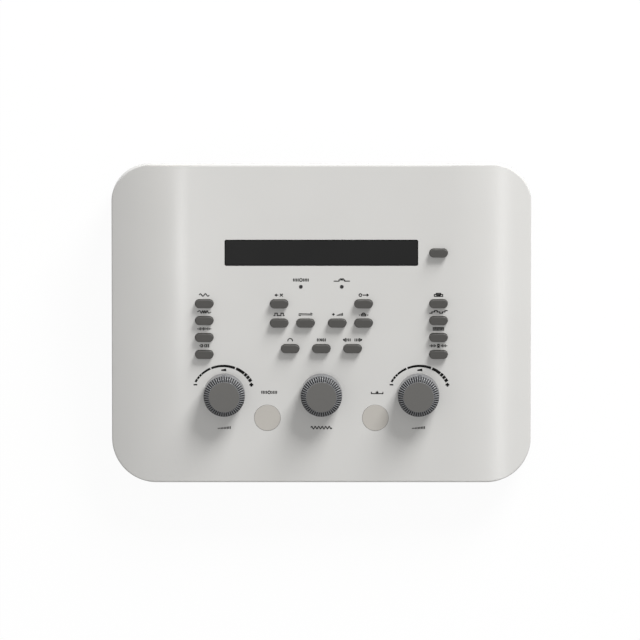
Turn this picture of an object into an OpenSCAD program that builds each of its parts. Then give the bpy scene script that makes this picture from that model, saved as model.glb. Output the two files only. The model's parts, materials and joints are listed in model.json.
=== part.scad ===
// Desktop audiometer: a sloping two-shell case with a key field, a text display,
// three endless rotary controls and a recessed row of sockets at the rear.
// +X is to the right, +Y to the rear and +Z up. The origin is on the table under
// the middle of the case. Places on the sloping top are given as [x, y] along the
// slope, and depths are measured square to it, down from its outer face.

/* [Case] */
// Width of the case
case_w = 320; // [312:1:350]
// Depth of the case from front to rear
case_d = 243; // [240:1:270]
// Height of the top above the table at mid depth
case_h = 57.5; // [55:0.5:70]
// Slope of the top in degrees
slope = 10; // [8:0.5:12]
// Width of the flat top beyond the outer key columns
flat_edge = 10.7; // [9.6:0.1:14]
// Radius of the curved sides of the top
side_r = 170; // [120:1:220]
// Rear corner radius seen from above
rear_corner_r = 28; // [20:1:34]
// Front corner radius seen from above
front_corner_r = 34; // [24:1:40]
// Width of the bevel along the rear edge, seen from above
rear_bevel = 1.2; // [1:0.1:3]
// Wall thickness of the top cover
top_wall = 2.8; // [2.4:0.1:3.4]
// Wall thickness of the bottom cover
base_wall = 2.5; // [2:0.1:3]
// Height of the seam between the covers above the table
seam_h = 12; // [11:0.5:14]
// How far the bottom cover steps in under the top cover
base_step = 1.2; // [0.6:0.1:1.6]
// Height of the bottom cover's tongue inside the top cover
tongue_h = 3; // [2:0.5:4]
// Thickness of that tongue
tongue_t = 1.2; // [1:0.1:1.4]
// Gap between the tongue and the top cover
tongue_gap = 0.2; // [0.1:0.05:0.3]

/* [Feet] */
// Diameter of a rubber foot
foot_d = 16; // [12:0.5:18]
// Height of a foot below the bottom cover
foot_h = 3; // [2:0.5:4]
// Depth of the pocket that a foot is bonded into
foot_pocket = 1; // [0.6:0.1:1.2]
// Distance of the feet from the sides of the case
foot_side = 44; // [36:1:60]
// Distance of the feet from the front and rear of the case
foot_end = 29.5; // [26:0.5:50]

/* [Case screws] */
// Distance of the screw posts from the sides of the case
post_side = 22; // [18:1:26]
// Distance of the front posts from the front of the case
post_front = 43.5; // [38:0.5:52]
// Distance of the rear posts from the rear of the case
post_rear = 37.5; // [32:0.5:46]
// Diameter of the screw posts
post_d = 9; // [8:0.5:10]
// Height of the seat between the posts of both covers
post_seat_h = 15; // [14:0.5:17]
// Nominal diameter of the case screws
screw_d = 3; // [2.5:0.5:3.5]
// Grip of a case screw in the top cover's post
screw_grip = 9; // [7:0.5:10]
// Diameter of a screw head
head_d = 5.6; // [5:0.1:6]
// Height of a screw head
head_h = 2.2; // [1.8:0.1:2.6]

/* [Keys] */
// Length of a pill-shaped key
key_w = 13.8; // [12:0.1:15]
// Breadth of a key
key_b = 6.2; // [5.6:0.1:7.4]
// Height of a key above the top
key_proud = 3.8; // [2.5:0.1:5]
// Travel of every key and button
key_travel = 1; // [0.6:0.1:1.4]
// Gap around a key in its hole
key_gap = 0.3; // [0.2:0.05:0.4]
// Gap around a round button in its hole
button_gap = 0.2; // [0.15:0.05:0.4]
// Width of the rim that keeps a key under the top
key_rim = 1.2; // [0.9:0.1:1.3]
// Thickness of that rim
rim_t = 1.2; // [0.8:0.1:1.6]
// Distance of the outer key columns from the display frame
column_gap = 10.3; // [9:0.1:12]
// Place of the highest key of a column
column_y = 15.2; // [12:0.1:17]
// Spacing of the keys in a column
column_pitch = 13.1; // [12:0.1:13.6]
// Place of the upper pair of the middle field
pair_y = 15.1; // [14:0.1:17]
// Spacing of the two keys on each side of the row of four
four_pitch = 20.1; // [17.6:0.1:22]
// Place of the row of four
row_y = 0.2; // [-1:0.1:1]
// Sideways place of the inner keys of the row of four
inner_x = 12.1; // [11:0.1:13]
// Place of the row of three
low_y = -19.6; // [-21:0.1:-14]
// Sideways place of the outer keys of the row of three
low_x = 23.8; // [21:0.1:26]
// Diameter of the two round buttons
button_d = 19.9; // [18:0.1:22]
// Sideways place of the round buttons
button_x = 41.2; // [38:0.1:44]
// Place of the round buttons
button_y = -73.4; // [-76:0.1:-72]

/* [Rotary controls] */
// Diameter of a knob
knob_d = 31.6; // [28:0.1:33]
// Height of a knob's top above the case top
knob_h = 16.3; // [15:0.1:20]
// Diameter of a knob's flat top
knob_top_d = 23.6; // [20:0.1:25]
// Height of a knob's fluted bevel
knob_bevel_h = 3.3; // [3:0.1:5]
// Gap between a knob and the case top
knob_gap = 0.8; // [0.5:0.1:1]
// Wall thickness of a knob's skirt
knob_wall = 1.8; // [1.4:0.1:2.4]
// Sideways place of the outer knobs
knob_x = 74.1; // [72:0.1:76]
// Place of the row of knobs
knob_y = -54.6; // [-56:0.1:-53]
// Diameter of the encoder shafts
shaft_d = 6; // [5:0.5:6]
// Wall thickness of the encoder's bushing
bushing_wall = 0.5; // [0.4:0.05:1]
// Height of the bushing above the case top
bushing_proud = 2.2; // [1.5:0.1:2.2]
// Radial running clearance of a shaft in its bushing
run_gap = 0.05; // [0.03:0.01:0.08]
// Radial gap between a bushing and its hole in the top
bushing_gap = 0.4; // [0.3:0.05:0.6]
// Width of an encoder housing
encoder_w = 13; // [11:0.5:14]

/* [Display] */
// Width of the display window
window_w = 147.4; // [140:0.1:149]
// Breadth of the display window
window_b = 20.1; // [18:0.1:21]
// Corner radius of the window
window_r = 1.2; // [0.8:0.1:2]
// Thickness of the window
window_t = 1.3; // [1:0.1:1.4]
// Width of the ledge that carries the window
window_ledge = 1.8; // [1.2:0.1:2.4]
// Depth of the window's face below the case top
window_sink = 0.2; // [0.1:0.05:0.3]
// Place of the window's middle
window_y = 54.4; // [53:0.1:56]
// Width of the display module's frame beside the window
bezel_side = 5.3; // [4:0.1:7]
// Width of that frame above and below the window
bezel_end = 4.75; // [4:0.05:6]
// Sheet thickness of that frame
bezel_t = 0.8; // [0.6:0.1:1]
// Thickness of the display glass
glass_t = 2.4; // [1.8:0.1:3]
// How far the display module's board reaches past its frame at the sides
module_side = 9; // [7:0.5:10]
// How far that board reaches past the frame above and below
module_end = 5.5; // [5:0.1:7]

/* [Lamps and key board] */
// Diameter of the two indicator lamps
lamp_d = 2.8; // [2.4:0.1:3.2]
// Sideways place of the lamps
lamp_x = 15.6; // [13:0.1:19]
// Place of the lamps
lamp_y = 28.2; // [25.5:0.1:29]
// Height of the tactile switches under the keys
switch_h = 4.3; // [3.8:0.1:5]
// Width of a tactile switch
switch_w = 6; // [5.6:0.1:6.4]
// Diameter of the pin that a key presses a switch with
pin_d = 3.2; // [2.6:0.1:3.4]
// How far the key board reaches past the key columns
key_board_side = 8.7; // [7.5:0.1:10]
// Thickness of the circuit boards
board_t = 1.6; // [1.2:0.1:2]
// Diameter of the posts that carry the key board
board_post_d = 6; // [5.4:0.1:6.4]

/* [Main board and sockets] */
// Room between the outer sockets and the cheeks of the bay
bay_end = 17.5; // [12:0.5:22]
// Depth of the socket bay
bay_deep = 12; // [10:0.5:14]
// Height of the bay's ceiling above the table
bay_h = 37; // [35:0.5:40]
// Thickness of the socket plate
plate_t = 2; // [1.5:0.1:2.5]
// Height of the socket row above the table
socket_h = 24; // [23:0.5:26]
// How far the main board reaches past the outer sockets
main_board_side = 7.5; // [5:0.5:12]
// Length of the main board from front to rear
main_board_l = 124; // [118:1:130]
// Number of large phone sockets
phone_count = 5; // [3:1:5]
// Spacing of the large sockets
phone_pitch = 22; // [20:0.5:23]
// Gap between one kind of socket and the next
socket_gap = 8; // [6:0.5:10]
// Bore of a large socket
phone_bore = 6.5; // [6.4:0.05:6.6]
// Depth of that bore
phone_deep = 28; // [24:0.5:30]
// Number of small sockets
mini_count = 3; // [1:1:3]
// Spacing of the small sockets
mini_pitch = 18; // [16:0.5:18]
// Bore of a small socket
mini_bore = 3.7; // [3.6:0.05:3.8]
// Depth of that bore
mini_deep = 15; // [13:0.5:16]

/* [Hidden] */
$fn = 96;
cut = 1;

base_z = foot_h;
floor_z = base_z + base_wall;
case_top = case_h + case_d;
tongue_in = top_wall + tongue_gap;
bevel_spread = 1.2;
bezel_w = window_w + 2 * bezel_side;
bezel_b = window_b + 2 * bezel_end;
module_w = bezel_w + 2 * module_side;
module_b = bezel_b + 2 * module_end;
column_x = bezel_w / 2 + column_gap;
flat_half_w = column_x + flat_edge;
key_board_w = 2 * (column_x + key_board_side);
pair_x = inner_x + four_pitch;
bushing_d = shaft_d + 2 * bushing_wall;
foot_x = case_w / 2 - foot_side;
foot_y = case_d / 2 - foot_end;

// Depths below the outer face of the top
rim_deep = top_wall + rim_t;
switch_rest = 0.7;
switch_deep = rim_deep + key_travel + switch_rest;
board_deep = switch_deep + switch_h;
pin_in = 1.5;
pin_deep = switch_deep + pin_in;
pin_gap = 0.3;
well_deep = pin_deep + key_travel + 0.5;
board_back = board_deep + board_t;
spacer_h = 3;
module_deep = board_back + spacer_h;
bezel_gap = 1;
bezel_deep = top_wall + bezel_gap;
bezel_fit = 1.6;

// Places of the keys on the slope, each with its name
LEFT_COLUMN = ["tone_key", "warble_key", "speech_key", "mask_key"];
RIGHT_COLUMN = ["print_key", "step_key", "options_key", "talkover_key"];
function column(names, x) =
    [for (i = [0:len(names) - 1]) [names[i], [x, column_y - i * column_pitch]]];
KEYS = concat(
    column(LEFT_COLUMN, -column_x),
    column(RIGHT_COLUMN, column_x),
    [
        ["power_key", [column_x, window_y]],
        ["left_ear_key", [-pair_x, pair_y]],
        ["right_ear_key", [pair_x, pair_y]],
        ["pulse_key", [-pair_x, row_y]],
        ["reverse_key", [-inner_x, row_y]],
        ["boost_key", [inner_x, row_y]],
        ["lock_key", [pair_x, row_y]],
        ["air_key", [-low_x, low_y]],
        ["bone_key", [0, low_y]],
        ["field_key", [low_x, low_y]]
    ]
);
BUTTONS = [
    ["present_button", [-button_x, button_y]],
    ["store_button", [button_x, button_y]]
];
CONTROLS = [
    ["left_level", [-knob_x, knob_y]],
    ["frequency", [0, knob_y]],
    ["right_level", [knob_x, knob_y]]
];
LAMPS = [[-lamp_x, lamp_y], [lamp_x, lamp_y]];
PRESSED = concat([for (k = KEYS) k[1]], [for (b = BUTTONS) b[1]]);

// Case posts, in two rows from front to rear
post_x = case_w / 2 - post_side;
post_low_y = -case_d / 2 + post_front;
post_high_y = case_d / 2 - post_rear;
POST_ROWS = [post_low_y, (post_low_y + post_high_y) / 2, post_high_y];
CASE_POSTS = [for (x = [-post_x, post_x], y = POST_ROWS) [x, y]];
screw_tip_h = post_seat_h + screw_grip;
head_seat_h = floor_z + head_h + 0.3;
pilot_d = screw_d - 0.5;
clear_d = screw_d + 0.4;
head_clear_d = head_d + 0.8;

// Key board: its outline, the cut-out for the display and the posts above it
board_margin = 4;
board_front = button_y - button_d / 2 - board_margin;
board_rear = window_y + module_b / 2 + board_margin;
opening_w = bezel_w + 2 * bezel_fit;
opening_b = bezel_b + 2 * bezel_fit;
board_edge = board_post_d / 2 + 1.5;
KEY_POSTS = [
    [-key_board_w / 2 + board_edge, board_rear - board_edge],
    [key_board_w / 2 - board_edge, board_rear - board_edge],
    [-(pair_x + column_x) / 2, lamp_y],
    [(pair_x + column_x) / 2, lamp_y],
    [-key_board_w / 2 + board_edge, knob_y + encoder_w],
    [key_board_w / 2 - board_edge, knob_y + encoder_w],
    [-button_x / 2, board_front + board_edge],
    [button_x / 2, board_front + board_edge]
];
spacer_x = (opening_w + module_w) / 4;
spacer_edge = 3;
spacer_y = module_b / 2 - spacer_edge;
SPACERS = [for (x = [-1, 1], y = [-1, 1]) [x * spacer_x, window_y + y * spacer_y]];
spacer_d = 5;
small_screw_d = 2.5;
thread_gap = 0.05;
small_grip = 5;
small_head_d = 4.6;
small_head_h = 1.6;

// The row of sockets, centred behind the case, and the bay around it
phone_w = 16;
phone_h = 13.6;
bush_wall = 1.25;
back_wall = 1.5;
mini_w = 12;
mini_h = 11;
phone_bush_d = phone_bore + 2 * bush_wall;
phone_bush_out = 3.5;
mini_bush_d = mini_bore + 2 * bush_wall;
mini_bush_out = 2.5;
hole_gap = 0.2;
nut_t = 2;
nut_rim = 2;
usb_w = 12;
usb_h = 11;
usb_l = 16;
usb_mouth_w = 8.4;
usb_mouth_h = 7.8;
usb_mouth_deep = 9;
usb_tongue_w = 5.6;
usb_tongue_h = 3.2;
pin_sunk = 1;
dc_w = 9;
dc_h = 11;
dc_l = 14;
dc_mouth_d = 6.3;
dc_pin_d = 2.1;
dc_mouth_deep = 9.5;
phone_row = (phone_count - 1) * phone_pitch;
mini_row = (mini_count - 1) * mini_pitch;
row_w = phone_row + phone_w + mini_row + mini_w + usb_w + dc_w + 3 * socket_gap;
phone_x = (phone_w - row_w) / 2;
PHONES = [for (i = [0:phone_count - 1]) phone_x + i * phone_pitch];
mini_first = phone_x + phone_row + (phone_w + mini_w) / 2 + socket_gap;
MINIS = [for (i = [0:mini_count - 1]) mini_first + i * mini_pitch];
usb_x = mini_first + mini_row + (mini_w + usb_w) / 2 + socket_gap;
dc_x = usb_x + (usb_w + dc_w) / 2 + socket_gap;
bay_w = row_w + 2 * bay_end;
main_board_w = row_w + 2 * main_board_side;
bay_wall = 2.5;
plate_y = case_d / 2 - bay_deep;
plate_in_y = plate_y - plate_t;
plate_gap = 0.2;
plate_w = bay_w + 2 * bay_wall;
plate_top = bay_h + bay_wall;
rib_t = 1.6;
board_back_gap = 2;
rib_h = 3;
board_top_h = socket_h - phone_h / 2;
board_under_h = board_top_h - board_t;
dc_axis_h = board_top_h + 6.3;
main_board_rear = plate_in_y - board_back_gap;
main_board_front = main_board_rear - main_board_l;
stand_d = 7;
stand_edge = 5;
STANDS = [
    for (x = [-main_board_w / 2 + stand_edge, main_board_w / 2 - stand_edge],
         y = [main_board_front + stand_edge, main_board_front + 0.75 * main_board_l])
        [x, y]
];

// Ribbon between the two boards
ribbon_w = 33;
ribbon_t = 1;
ribbon_steps = 14;
ribbon_pull = 9;
header_h = 6;
header_b = 6;
header_end = 3;
upper_header_y = -8;
lower_header_in = 8;
lower_header_y = main_board_front + lower_header_in;

// Parts on the main board
chip_x = -12;
chip_pitch = 32;
chip_row_in = 42;
chip_row_y = main_board_front + chip_row_in;
chip_low_in = 18;
chip_low_y = main_board_front + chip_low_in;
chip_big = 20;
chip_mid = 14;
chip_small = 10;
chip_h = 1.6;
relay_w = 10;
relay_l = 15;
relay_h = 8;
relay_in = 48;
relay_y = main_board_rear - relay_in;
capacitor_d = 8;
capacitor_h = 11;
capacitor_pitch = 12;
capacitor_side = 18;
capacitor_x = main_board_w / 2 - capacitor_side;
capacitor_in = 40;
capacitor_y = main_board_rear - capacitor_in;

shell_colour = "#CFCECB";
base_colour = "#8F9092";
key_colour = "#575654";
button_colour = "#BAB7B2";
knob_colour = "#6A6A68";
board_colour = "#2F6B45";
dark_colour = "#2C2C2C";
metal_colour = "#B8BABC";

// ---- Shared shapes ----

// Puts its children on the sloping top, z = 0 being the outer face
module on_top() {
    translate([0, 0, case_h]) rotate([slope, 0, 0]) children();
}

// The same at one place and depth
module at_place(place, deep) {
    on_top() translate([place.x, place.y, -deep]) children();
}

// A pill: a bar with two round ends
module pill(w, b) {
    square([w - b, b], center = true);
    for (side = [-1, 1]) translate([side * (w - b) / 2, 0]) circle(d = b);
}

// A rectangle with round corners
module rounded(w, b, r) {
    square([w - 2 * r, b], center = true);
    square([w, b - 2 * r], center = true);
    for (x = [-1, 1], y = [-1, 1]) translate([x * (w / 2 - r), y * (b / 2 - r)]) circle(r);
}

// The case seen from above, moved in by inset all round
module plan(inset) {
    w = case_w / 2 - inset;
    d = case_d / 2 - inset;
    front_x = w - front_corner_r + inset;
    front_y = -d + front_corner_r - inset;
    rear_x = w - rear_corner_r + inset;
    rear_y = d - rear_corner_r + inset;
    for (side = [-1, 1]) {
        translate([side * front_x, front_y]) circle(front_corner_r - inset);
        translate([side * rear_x, rear_y]) circle(rear_corner_r - inset);
    }
    polygon([
        [-w, front_y], [-front_x, -d], [front_x, -d], [w, front_y],
        [w, rear_y], [rear_x, d], [-rear_x, d], [-w, rear_y]
    ]);
}

module plan_block(inset, z_low, z_high) {
    translate([0, 0, z_low]) linear_extrude(z_high - z_low) plan(inset);
}

// Everything below the top's outer face, moved down by inset
module under_top(inset) {
    half = flat_half_w + side_r - inset;
    on_top() rotate([90, 0, 0]) translate([0, 0, -case_d]) linear_extrude(2 * case_d) {
        translate([-flat_half_w, -case_d]) square([2 * flat_half_w, case_d - inset]);
        translate([-half, -case_d]) square([2 * half, case_d - side_r]);
        for (side = [-1, 1]) translate([side * flat_half_w, -side_r]) circle(side_r - inset);
    }
}

// A block that leans with the top, whose rear face is the rear edge's bevel
module leaning_block(inset) {
    length = 2 * case_d;
    rear = (case_d / 2 - rear_bevel) / cos(slope) - inset;
    on_top() translate([0, rear - length / 2, -case_d]) linear_extrude(2 * case_d)
        rounded(case_w + bevel_spread - 2 * inset, length, rear_corner_r + 4 * bevel_spread - inset);
}

// A block between two corners
module block(low, high) {
    translate(low) cube(high - low);
}

// A cylinder along +Y from y_low to y_high
module rod_y(x, z, d, y_low, y_high) {
    translate([x, y_low, z]) rotate([-90, 0, 0]) cylinder(d = d, h = y_high - y_low);
}

// ---- Case ----

// Socket bay as a block, grown by its wall
module bay_block(grow, y_front) {
    block([-bay_w / 2 - grow, y_front, seam_h - (grow > 0 ? 0 : cut)],
          [bay_w / 2 + grow, case_d / 2 + (grow > 0 ? -top_wall / 2 : cut), bay_h + grow]);
}

module top_holes() {
    for (k = KEYS) at_place(k[1], top_wall + cut)
        linear_extrude(top_wall + 2 * cut) pill(key_w + 2 * key_gap, key_b + 2 * key_gap);
    for (b = BUTTONS) at_place(b[1], top_wall + cut)
        cylinder(d = button_d + 2 * button_gap, h = top_wall + 2 * cut);
    for (c = CONTROLS) at_place(c[1], top_wall + cut)
        cylinder(d = bushing_d + 2 * bushing_gap, h = top_wall + 2 * cut);
    for (place = LAMPS) at_place(place, top_wall + cut)
        cylinder(d = lamp_d + 2 * run_gap, h = top_wall + 2 * cut);
    at_place([0, window_y], window_t + window_sink)
        linear_extrude(top_wall) rounded(window_w + 0.2, window_b + 0.2, window_r + 0.1);
    at_place([0, window_y], top_wall + cut)
        linear_extrude(top_wall + 2 * cut)
            square([window_w - 2 * window_ledge, window_b - 2 * window_ledge], center = true);
}

module top_cover() {
    color(shell_colour) difference() {
        union() {
            difference() {
                intersection() {
                    plan_block(0, seam_h, case_top);
                    under_top(0);
                    leaning_block(0);
                }
                intersection() {
                    plan_block(top_wall, seam_h - cut, case_top);
                    under_top(top_wall);
                    leaning_block(top_wall);
                }
            }
            bay_block(bay_wall, plate_y);
            intersection() {
                for (p = CASE_POSTS) translate([p.x, p.y, post_seat_h])
                    cylinder(d = post_d, h = case_top);
                under_top(top_wall / 2);
            }
            for (p = KEY_POSTS) at_place(p, board_deep)
                cylinder(d = board_post_d, h = board_deep - top_wall / 2);
        }
        bay_block(0, plate_y - cut);
        for (p = CASE_POSTS) translate([p.x, p.y, post_seat_h - cut])
            cylinder(d = pilot_d, h = screw_grip + 1 + cut);
        for (p = KEY_POSTS) at_place(p, board_deep + cut)
            cylinder(d = small_screw_d, h = small_grip + 1 + cut);
        top_holes();
    }
}

module bottom_cover() {
    tongue_low = seam_h - base_wall;
    color(base_colour) difference() {
        union() {
            difference() {
                plan_block(base_step, base_z, seam_h);
                plan_block(base_step + base_wall, floor_z, seam_h + cut);
            }
            difference() {
                plan_block(tongue_in, tongue_low, seam_h + tongue_h);
                plan_block(tongue_in + tongue_t, tongue_low - cut, seam_h + tongue_h + cut);
                block([-plate_w / 2 - plate_gap, 0, seam_h],
                      [plate_w / 2 + plate_gap, case_d, seam_h + tongue_h + cut]);
            }
            for (p = CASE_POSTS) translate([p.x, p.y, floor_z - base_wall / 2])
                cylinder(d = post_d + 1, h = post_seat_h - floor_z + base_wall / 2);
            for (p = STANDS) translate([p.x, p.y, floor_z - base_wall / 2])
                cylinder(d = stand_d, h = board_under_h - floor_z + base_wall / 2);
            for (y = [plate_y + plate_gap, plate_in_y - plate_gap - rib_t])
                block([-plate_w / 2, y, floor_z - base_wall / 2],
                      [plate_w / 2, y + rib_t, floor_z + rib_h]);
        }
        for (p = CASE_POSTS) {
            translate([p.x, p.y, base_z - cut]) cylinder(d = clear_d, h = case_h);
            translate([p.x, p.y, base_z - cut])
                cylinder(d = head_clear_d, h = head_seat_h - base_z + cut);
        }
        for (p = STANDS) translate([p.x, p.y, board_under_h - small_grip - 1])
            cylinder(d = small_screw_d, h = small_grip + 1 + cut);
        for (x = [-foot_x, foot_x], y = [-foot_y, foot_y]) translate([x, y, base_z - cut])
            cylinder(d = foot_d + 0.2, h = foot_pocket + cut);
    }
}

module rubber_feet() {
    color(dark_colour) for (x = [-foot_x, foot_x], y = [-foot_y, foot_y])
        translate([x, y, 0]) {
            cylinder(d1 = foot_d - 2, d2 = foot_d, h = 1);
            translate([0, 0, 1]) cylinder(d = foot_d, h = foot_h + foot_pocket - 1);
        }
}

// A self-tapping screw standing head down, seat at z = 0, thread upwards
module screw(d, grip, hd, hh) {
    cylinder(d = d - 2 * thread_gap, h = grip);
    difference() {
        translate([0, 0, -hh]) cylinder(d = hd, h = hh);
        for (turn = [0, 90]) rotate(turn) translate([0, 0, -hh])
            cube([hd * 0.6, hd * 0.16, hh], center = true);
    }
}

module case_screws() {
    color(metal_colour) for (p = CASE_POSTS) translate([p.x, p.y, head_seat_h])
        screw(pilot_d, screw_tip_h - head_seat_h, head_d, head_h);
}

// ---- Display ----

module display_window() {
    color("#202224") at_place([0, window_y], window_t + window_sink)
        linear_extrude(window_t) rounded(window_w, window_b, window_r);
}

module display_frame() {
    bezel_h = module_deep - bezel_deep;
    color(dark_colour) at_place([0, window_y], module_deep) difference() {
        translate([-bezel_w / 2, -bezel_b / 2, 0]) cube([bezel_w, bezel_b, bezel_h]);
        translate([-bezel_w / 2 + bezel_t, -bezel_b / 2 + bezel_t, -cut])
            cube([bezel_w - 2 * bezel_t, bezel_b - 2 * bezel_t, bezel_h - bezel_t + cut]);
        translate([0, 0, bezel_h / 2]) linear_extrude(bezel_h)
            square([window_w, window_b], center = true);
    }
}

// A slab that fills the display frame between two depths
module in_frame(deep, t) {
    slip = 0.15;
    w = bezel_w - 2 * bezel_t - 2 * slip;
    b = bezel_b - 2 * bezel_t - 2 * slip;
    at_place([0, window_y], deep + t) translate([-w / 2, -b / 2, 0]) cube([w, b, t]);
}

module display_glass() {
    color("#3A4038") in_frame(bezel_deep + bezel_t, glass_t);
}

module display_backlight() {
    top = bezel_deep + bezel_t + glass_t;
    color("#E8E8E4") in_frame(top, module_deep - top);
}

module display_board() {
    color(board_colour) at_place([0, window_y], module_deep + board_t) difference() {
        translate([-module_w / 2, -module_b / 2, 0]) cube([module_w, module_b, board_t]);
        for (p = SPACERS) translate([p.x, p.y - window_y, -cut])
            cylinder(d = small_screw_d + 0.3, h = board_t + 2 * cut);
    }
}

module display_spacers() {
    color("#E8E8E4") for (p = SPACERS) at_place(p, module_deep) difference() {
        cylinder(d = spacer_d, h = spacer_h);
        translate([0, 0, -cut]) cylinder(d = small_screw_d + 0.3, h = spacer_h + 2 * cut);
    }
}

module display_screws() {
    grip = board_t + spacer_h + board_t;
    color(metal_colour) for (p = SPACERS) at_place(p, module_deep + board_t)
        screw(small_screw_d, grip, small_head_d, small_head_h);
}

// ---- Key board and what stands on it ----

module key_board() {
    color(board_colour) on_top() translate([0, 0, -board_back]) difference() {
        translate([-key_board_w / 2, board_front, 0])
            cube([key_board_w, board_rear - board_front, board_t]);
        translate([-opening_w / 2, window_y - opening_b / 2, -cut])
            cube([opening_w, opening_b, board_t + 2 * cut]);
        for (p = KEY_POSTS) translate([p.x, p.y, -cut])
            cylinder(d = small_screw_d + 0.3, h = board_t + 2 * cut);
        for (p = SPACERS) translate([p.x, p.y, -cut])
            cylinder(d = small_screw_d, h = board_t + 2 * cut);
    }
}

module key_board_screws() {
    color(metal_colour) for (p = KEY_POSTS) at_place(p, board_back)
        screw(small_screw_d, board_t + small_grip, small_head_d, small_head_h);
}

module key_switches() {
    color("#3C3C3E") for (p = PRESSED) at_place(p, board_deep) difference() {
        translate([-switch_w / 2, -switch_w / 2, 0]) cube([switch_w, switch_w, switch_h]);
        translate([0, 0, board_deep - well_deep])
            cylinder(d = pin_d + 2 * pin_gap, h = switch_h);
    }
}

module light_pipes() {
    pipe_end = board_deep - 2.6;
    color("#1C1C1E") for (p = LAMPS) at_place(p, 0) {
        translate([0, 0, -pipe_end]) cylinder(d = lamp_d, h = pipe_end + 0.2);
        translate([0, 0, -rim_deep]) cylinder(d = lamp_d + 2, h = rim_t);
    }
}

module lamp_leds() {
    color("#D8D8D0") for (p = LAMPS) at_place(p, board_deep) {
        translate([-1.6, -1.4, 0]) cube([3.2, 2.8, 1.2]);
        translate([0, 0, 1.2]) cylinder(d = 2.2, h = 1.1);
    }
}

// ---- Keys and buttons ----

// The pin below a key's rim that reaches into the switch
module switch_pin() {
    translate([0, 0, -pin_deep]) cylinder(d = pin_d, h = pin_deep - rim_deep + rim_t / 2);
}

module key_cap(place) {
    color(key_colour) at_place(place, 0) {
        translate([0, 0, -top_wall - rim_t / 2])
            linear_extrude(top_wall + rim_t / 2 + key_proud) pill(key_w, key_b);
        translate([0, 0, -rim_deep])
            linear_extrude(rim_t) pill(key_w + 2 * key_rim, key_b + 2 * key_rim);
        switch_pin();
    }
}

module round_button(place) {
    color(button_colour) at_place(place, 0) {
        translate([0, 0, -rim_deep]) cylinder(d = button_d, h = rim_deep);
        translate([0, 0, -rim_deep]) cylinder(d = button_d + 2 * key_rim, h = rim_t);
        switch_pin();
    }
}

// ---- Rotary controls ----

shaft_top = knob_h - 3;
shaft_foot = board_deep - 1.2;

module encoder_housings() {
    housing_h = board_deep - top_wall - 0.7;
    color("#9A9C9E") for (c = CONTROLS) at_place(c[1], board_deep) difference() {
        union() {
            translate([-encoder_w / 2, -encoder_w / 2, 0])
                cube([encoder_w, encoder_w, housing_h]);
            cylinder(d = bushing_d, h = board_deep + bushing_proud);
        }
        translate([0, 0, board_deep - shaft_foot - 0.3])
            cylinder(d = shaft_d + 2 * run_gap, h = board_deep + knob_h);
    }
}

module encoder_shaft(place) {
    color(metal_colour) at_place(place, shaft_foot)
        cylinder(d = shaft_d, h = shaft_foot + shaft_top);
}

module knob(place) {
    r = knob_d / 2;
    roof = knob_h - knob_bevel_h - 0.5;
    hub_r = shaft_d / 2 + 2.5;
    hub_z = bushing_proud + 0.8;
    bore_r = shaft_d / 2 + 0.02;
    color(knob_colour) at_place(place, 0) rotate_extrude() polygon([
        [0, knob_h], [knob_top_d / 2, knob_h], [r, knob_h - knob_bevel_h], [r, knob_gap],
        [r - knob_wall, knob_gap], [r - knob_wall, roof], [hub_r, roof], [hub_r, hub_z],
        [bore_r, hub_z], [bore_r, shaft_top], [0, shaft_top]
    ]);
}

// ---- Main board and sockets ----

module main_board() {
    color(board_colour) difference() {
        block([-main_board_w / 2, main_board_front, board_under_h],
              [main_board_w / 2, main_board_rear, board_top_h]);
        for (p = STANDS) translate([p.x, p.y, board_under_h - cut])
            cylinder(d = small_screw_d + 0.3, h = board_t + 2 * cut);
    }
}

module main_board_screws() {
    color(metal_colour) for (p = STANDS) translate([p.x, p.y, board_top_h])
        rotate([180, 0, 0]) screw(small_screw_d, board_t + small_grip, small_head_d, small_head_h);
}

module chip(x, y, w) {
    translate([x - w / 2, y - w / 2, board_top_h]) cube([w, w, chip_h]);
}

module processor_chips() {
    color("#26272A") {
        chip(chip_x, chip_row_y, chip_big);
        for (i = [1, 2]) chip(chip_x + i * chip_pitch, chip_row_y, chip_mid);
        for (i = [1.5, 2.2]) chip(chip_x + i * chip_pitch, chip_low_y, chip_small);
    }
}

module output_relays() {
    color("#E3E1DA") for (x = PHONES)
        translate([x - relay_w / 2, relay_y, board_top_h]) cube([relay_w, relay_l, relay_h]);
}

module filter_capacitors() {
    color("#2B3A55") for (i = [0:3], j = [0, 1])
        translate([capacitor_x - i * capacitor_pitch, capacitor_y - j * capacitor_pitch, board_top_h])
            cylinder(d = capacitor_d, h = capacitor_h);
}

// One of the two headers that the ribbon plugs into, standing up from z = 0
module header() {
    translate([-ribbon_w / 2 - header_end, -header_b / 2, 0])
        cube([ribbon_w + 2 * header_end, header_b, header_h]);
}

module ribbon_headers() {
    color("#3A3A3C") {
        at_place([0, upper_header_y], board_back + header_h) header();
        translate([0, lower_header_y, board_top_h]) header();
    }
}

// A point of the ribbon's curve between the headers, u from 0 to 1, as [y, z]
function on_curve(a, b, c, d, u) =
    pow(1 - u, 3) * a + 3 * pow(1 - u, 2) * u * b + 3 * (1 - u) * u * u * c + pow(u, 3) * d;
function heading(a, b, c, d, u) =
    pow(1 - u, 2) * (b - a) + 2 * (1 - u) * u * (c - b) + u * u * (d - c);

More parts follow.
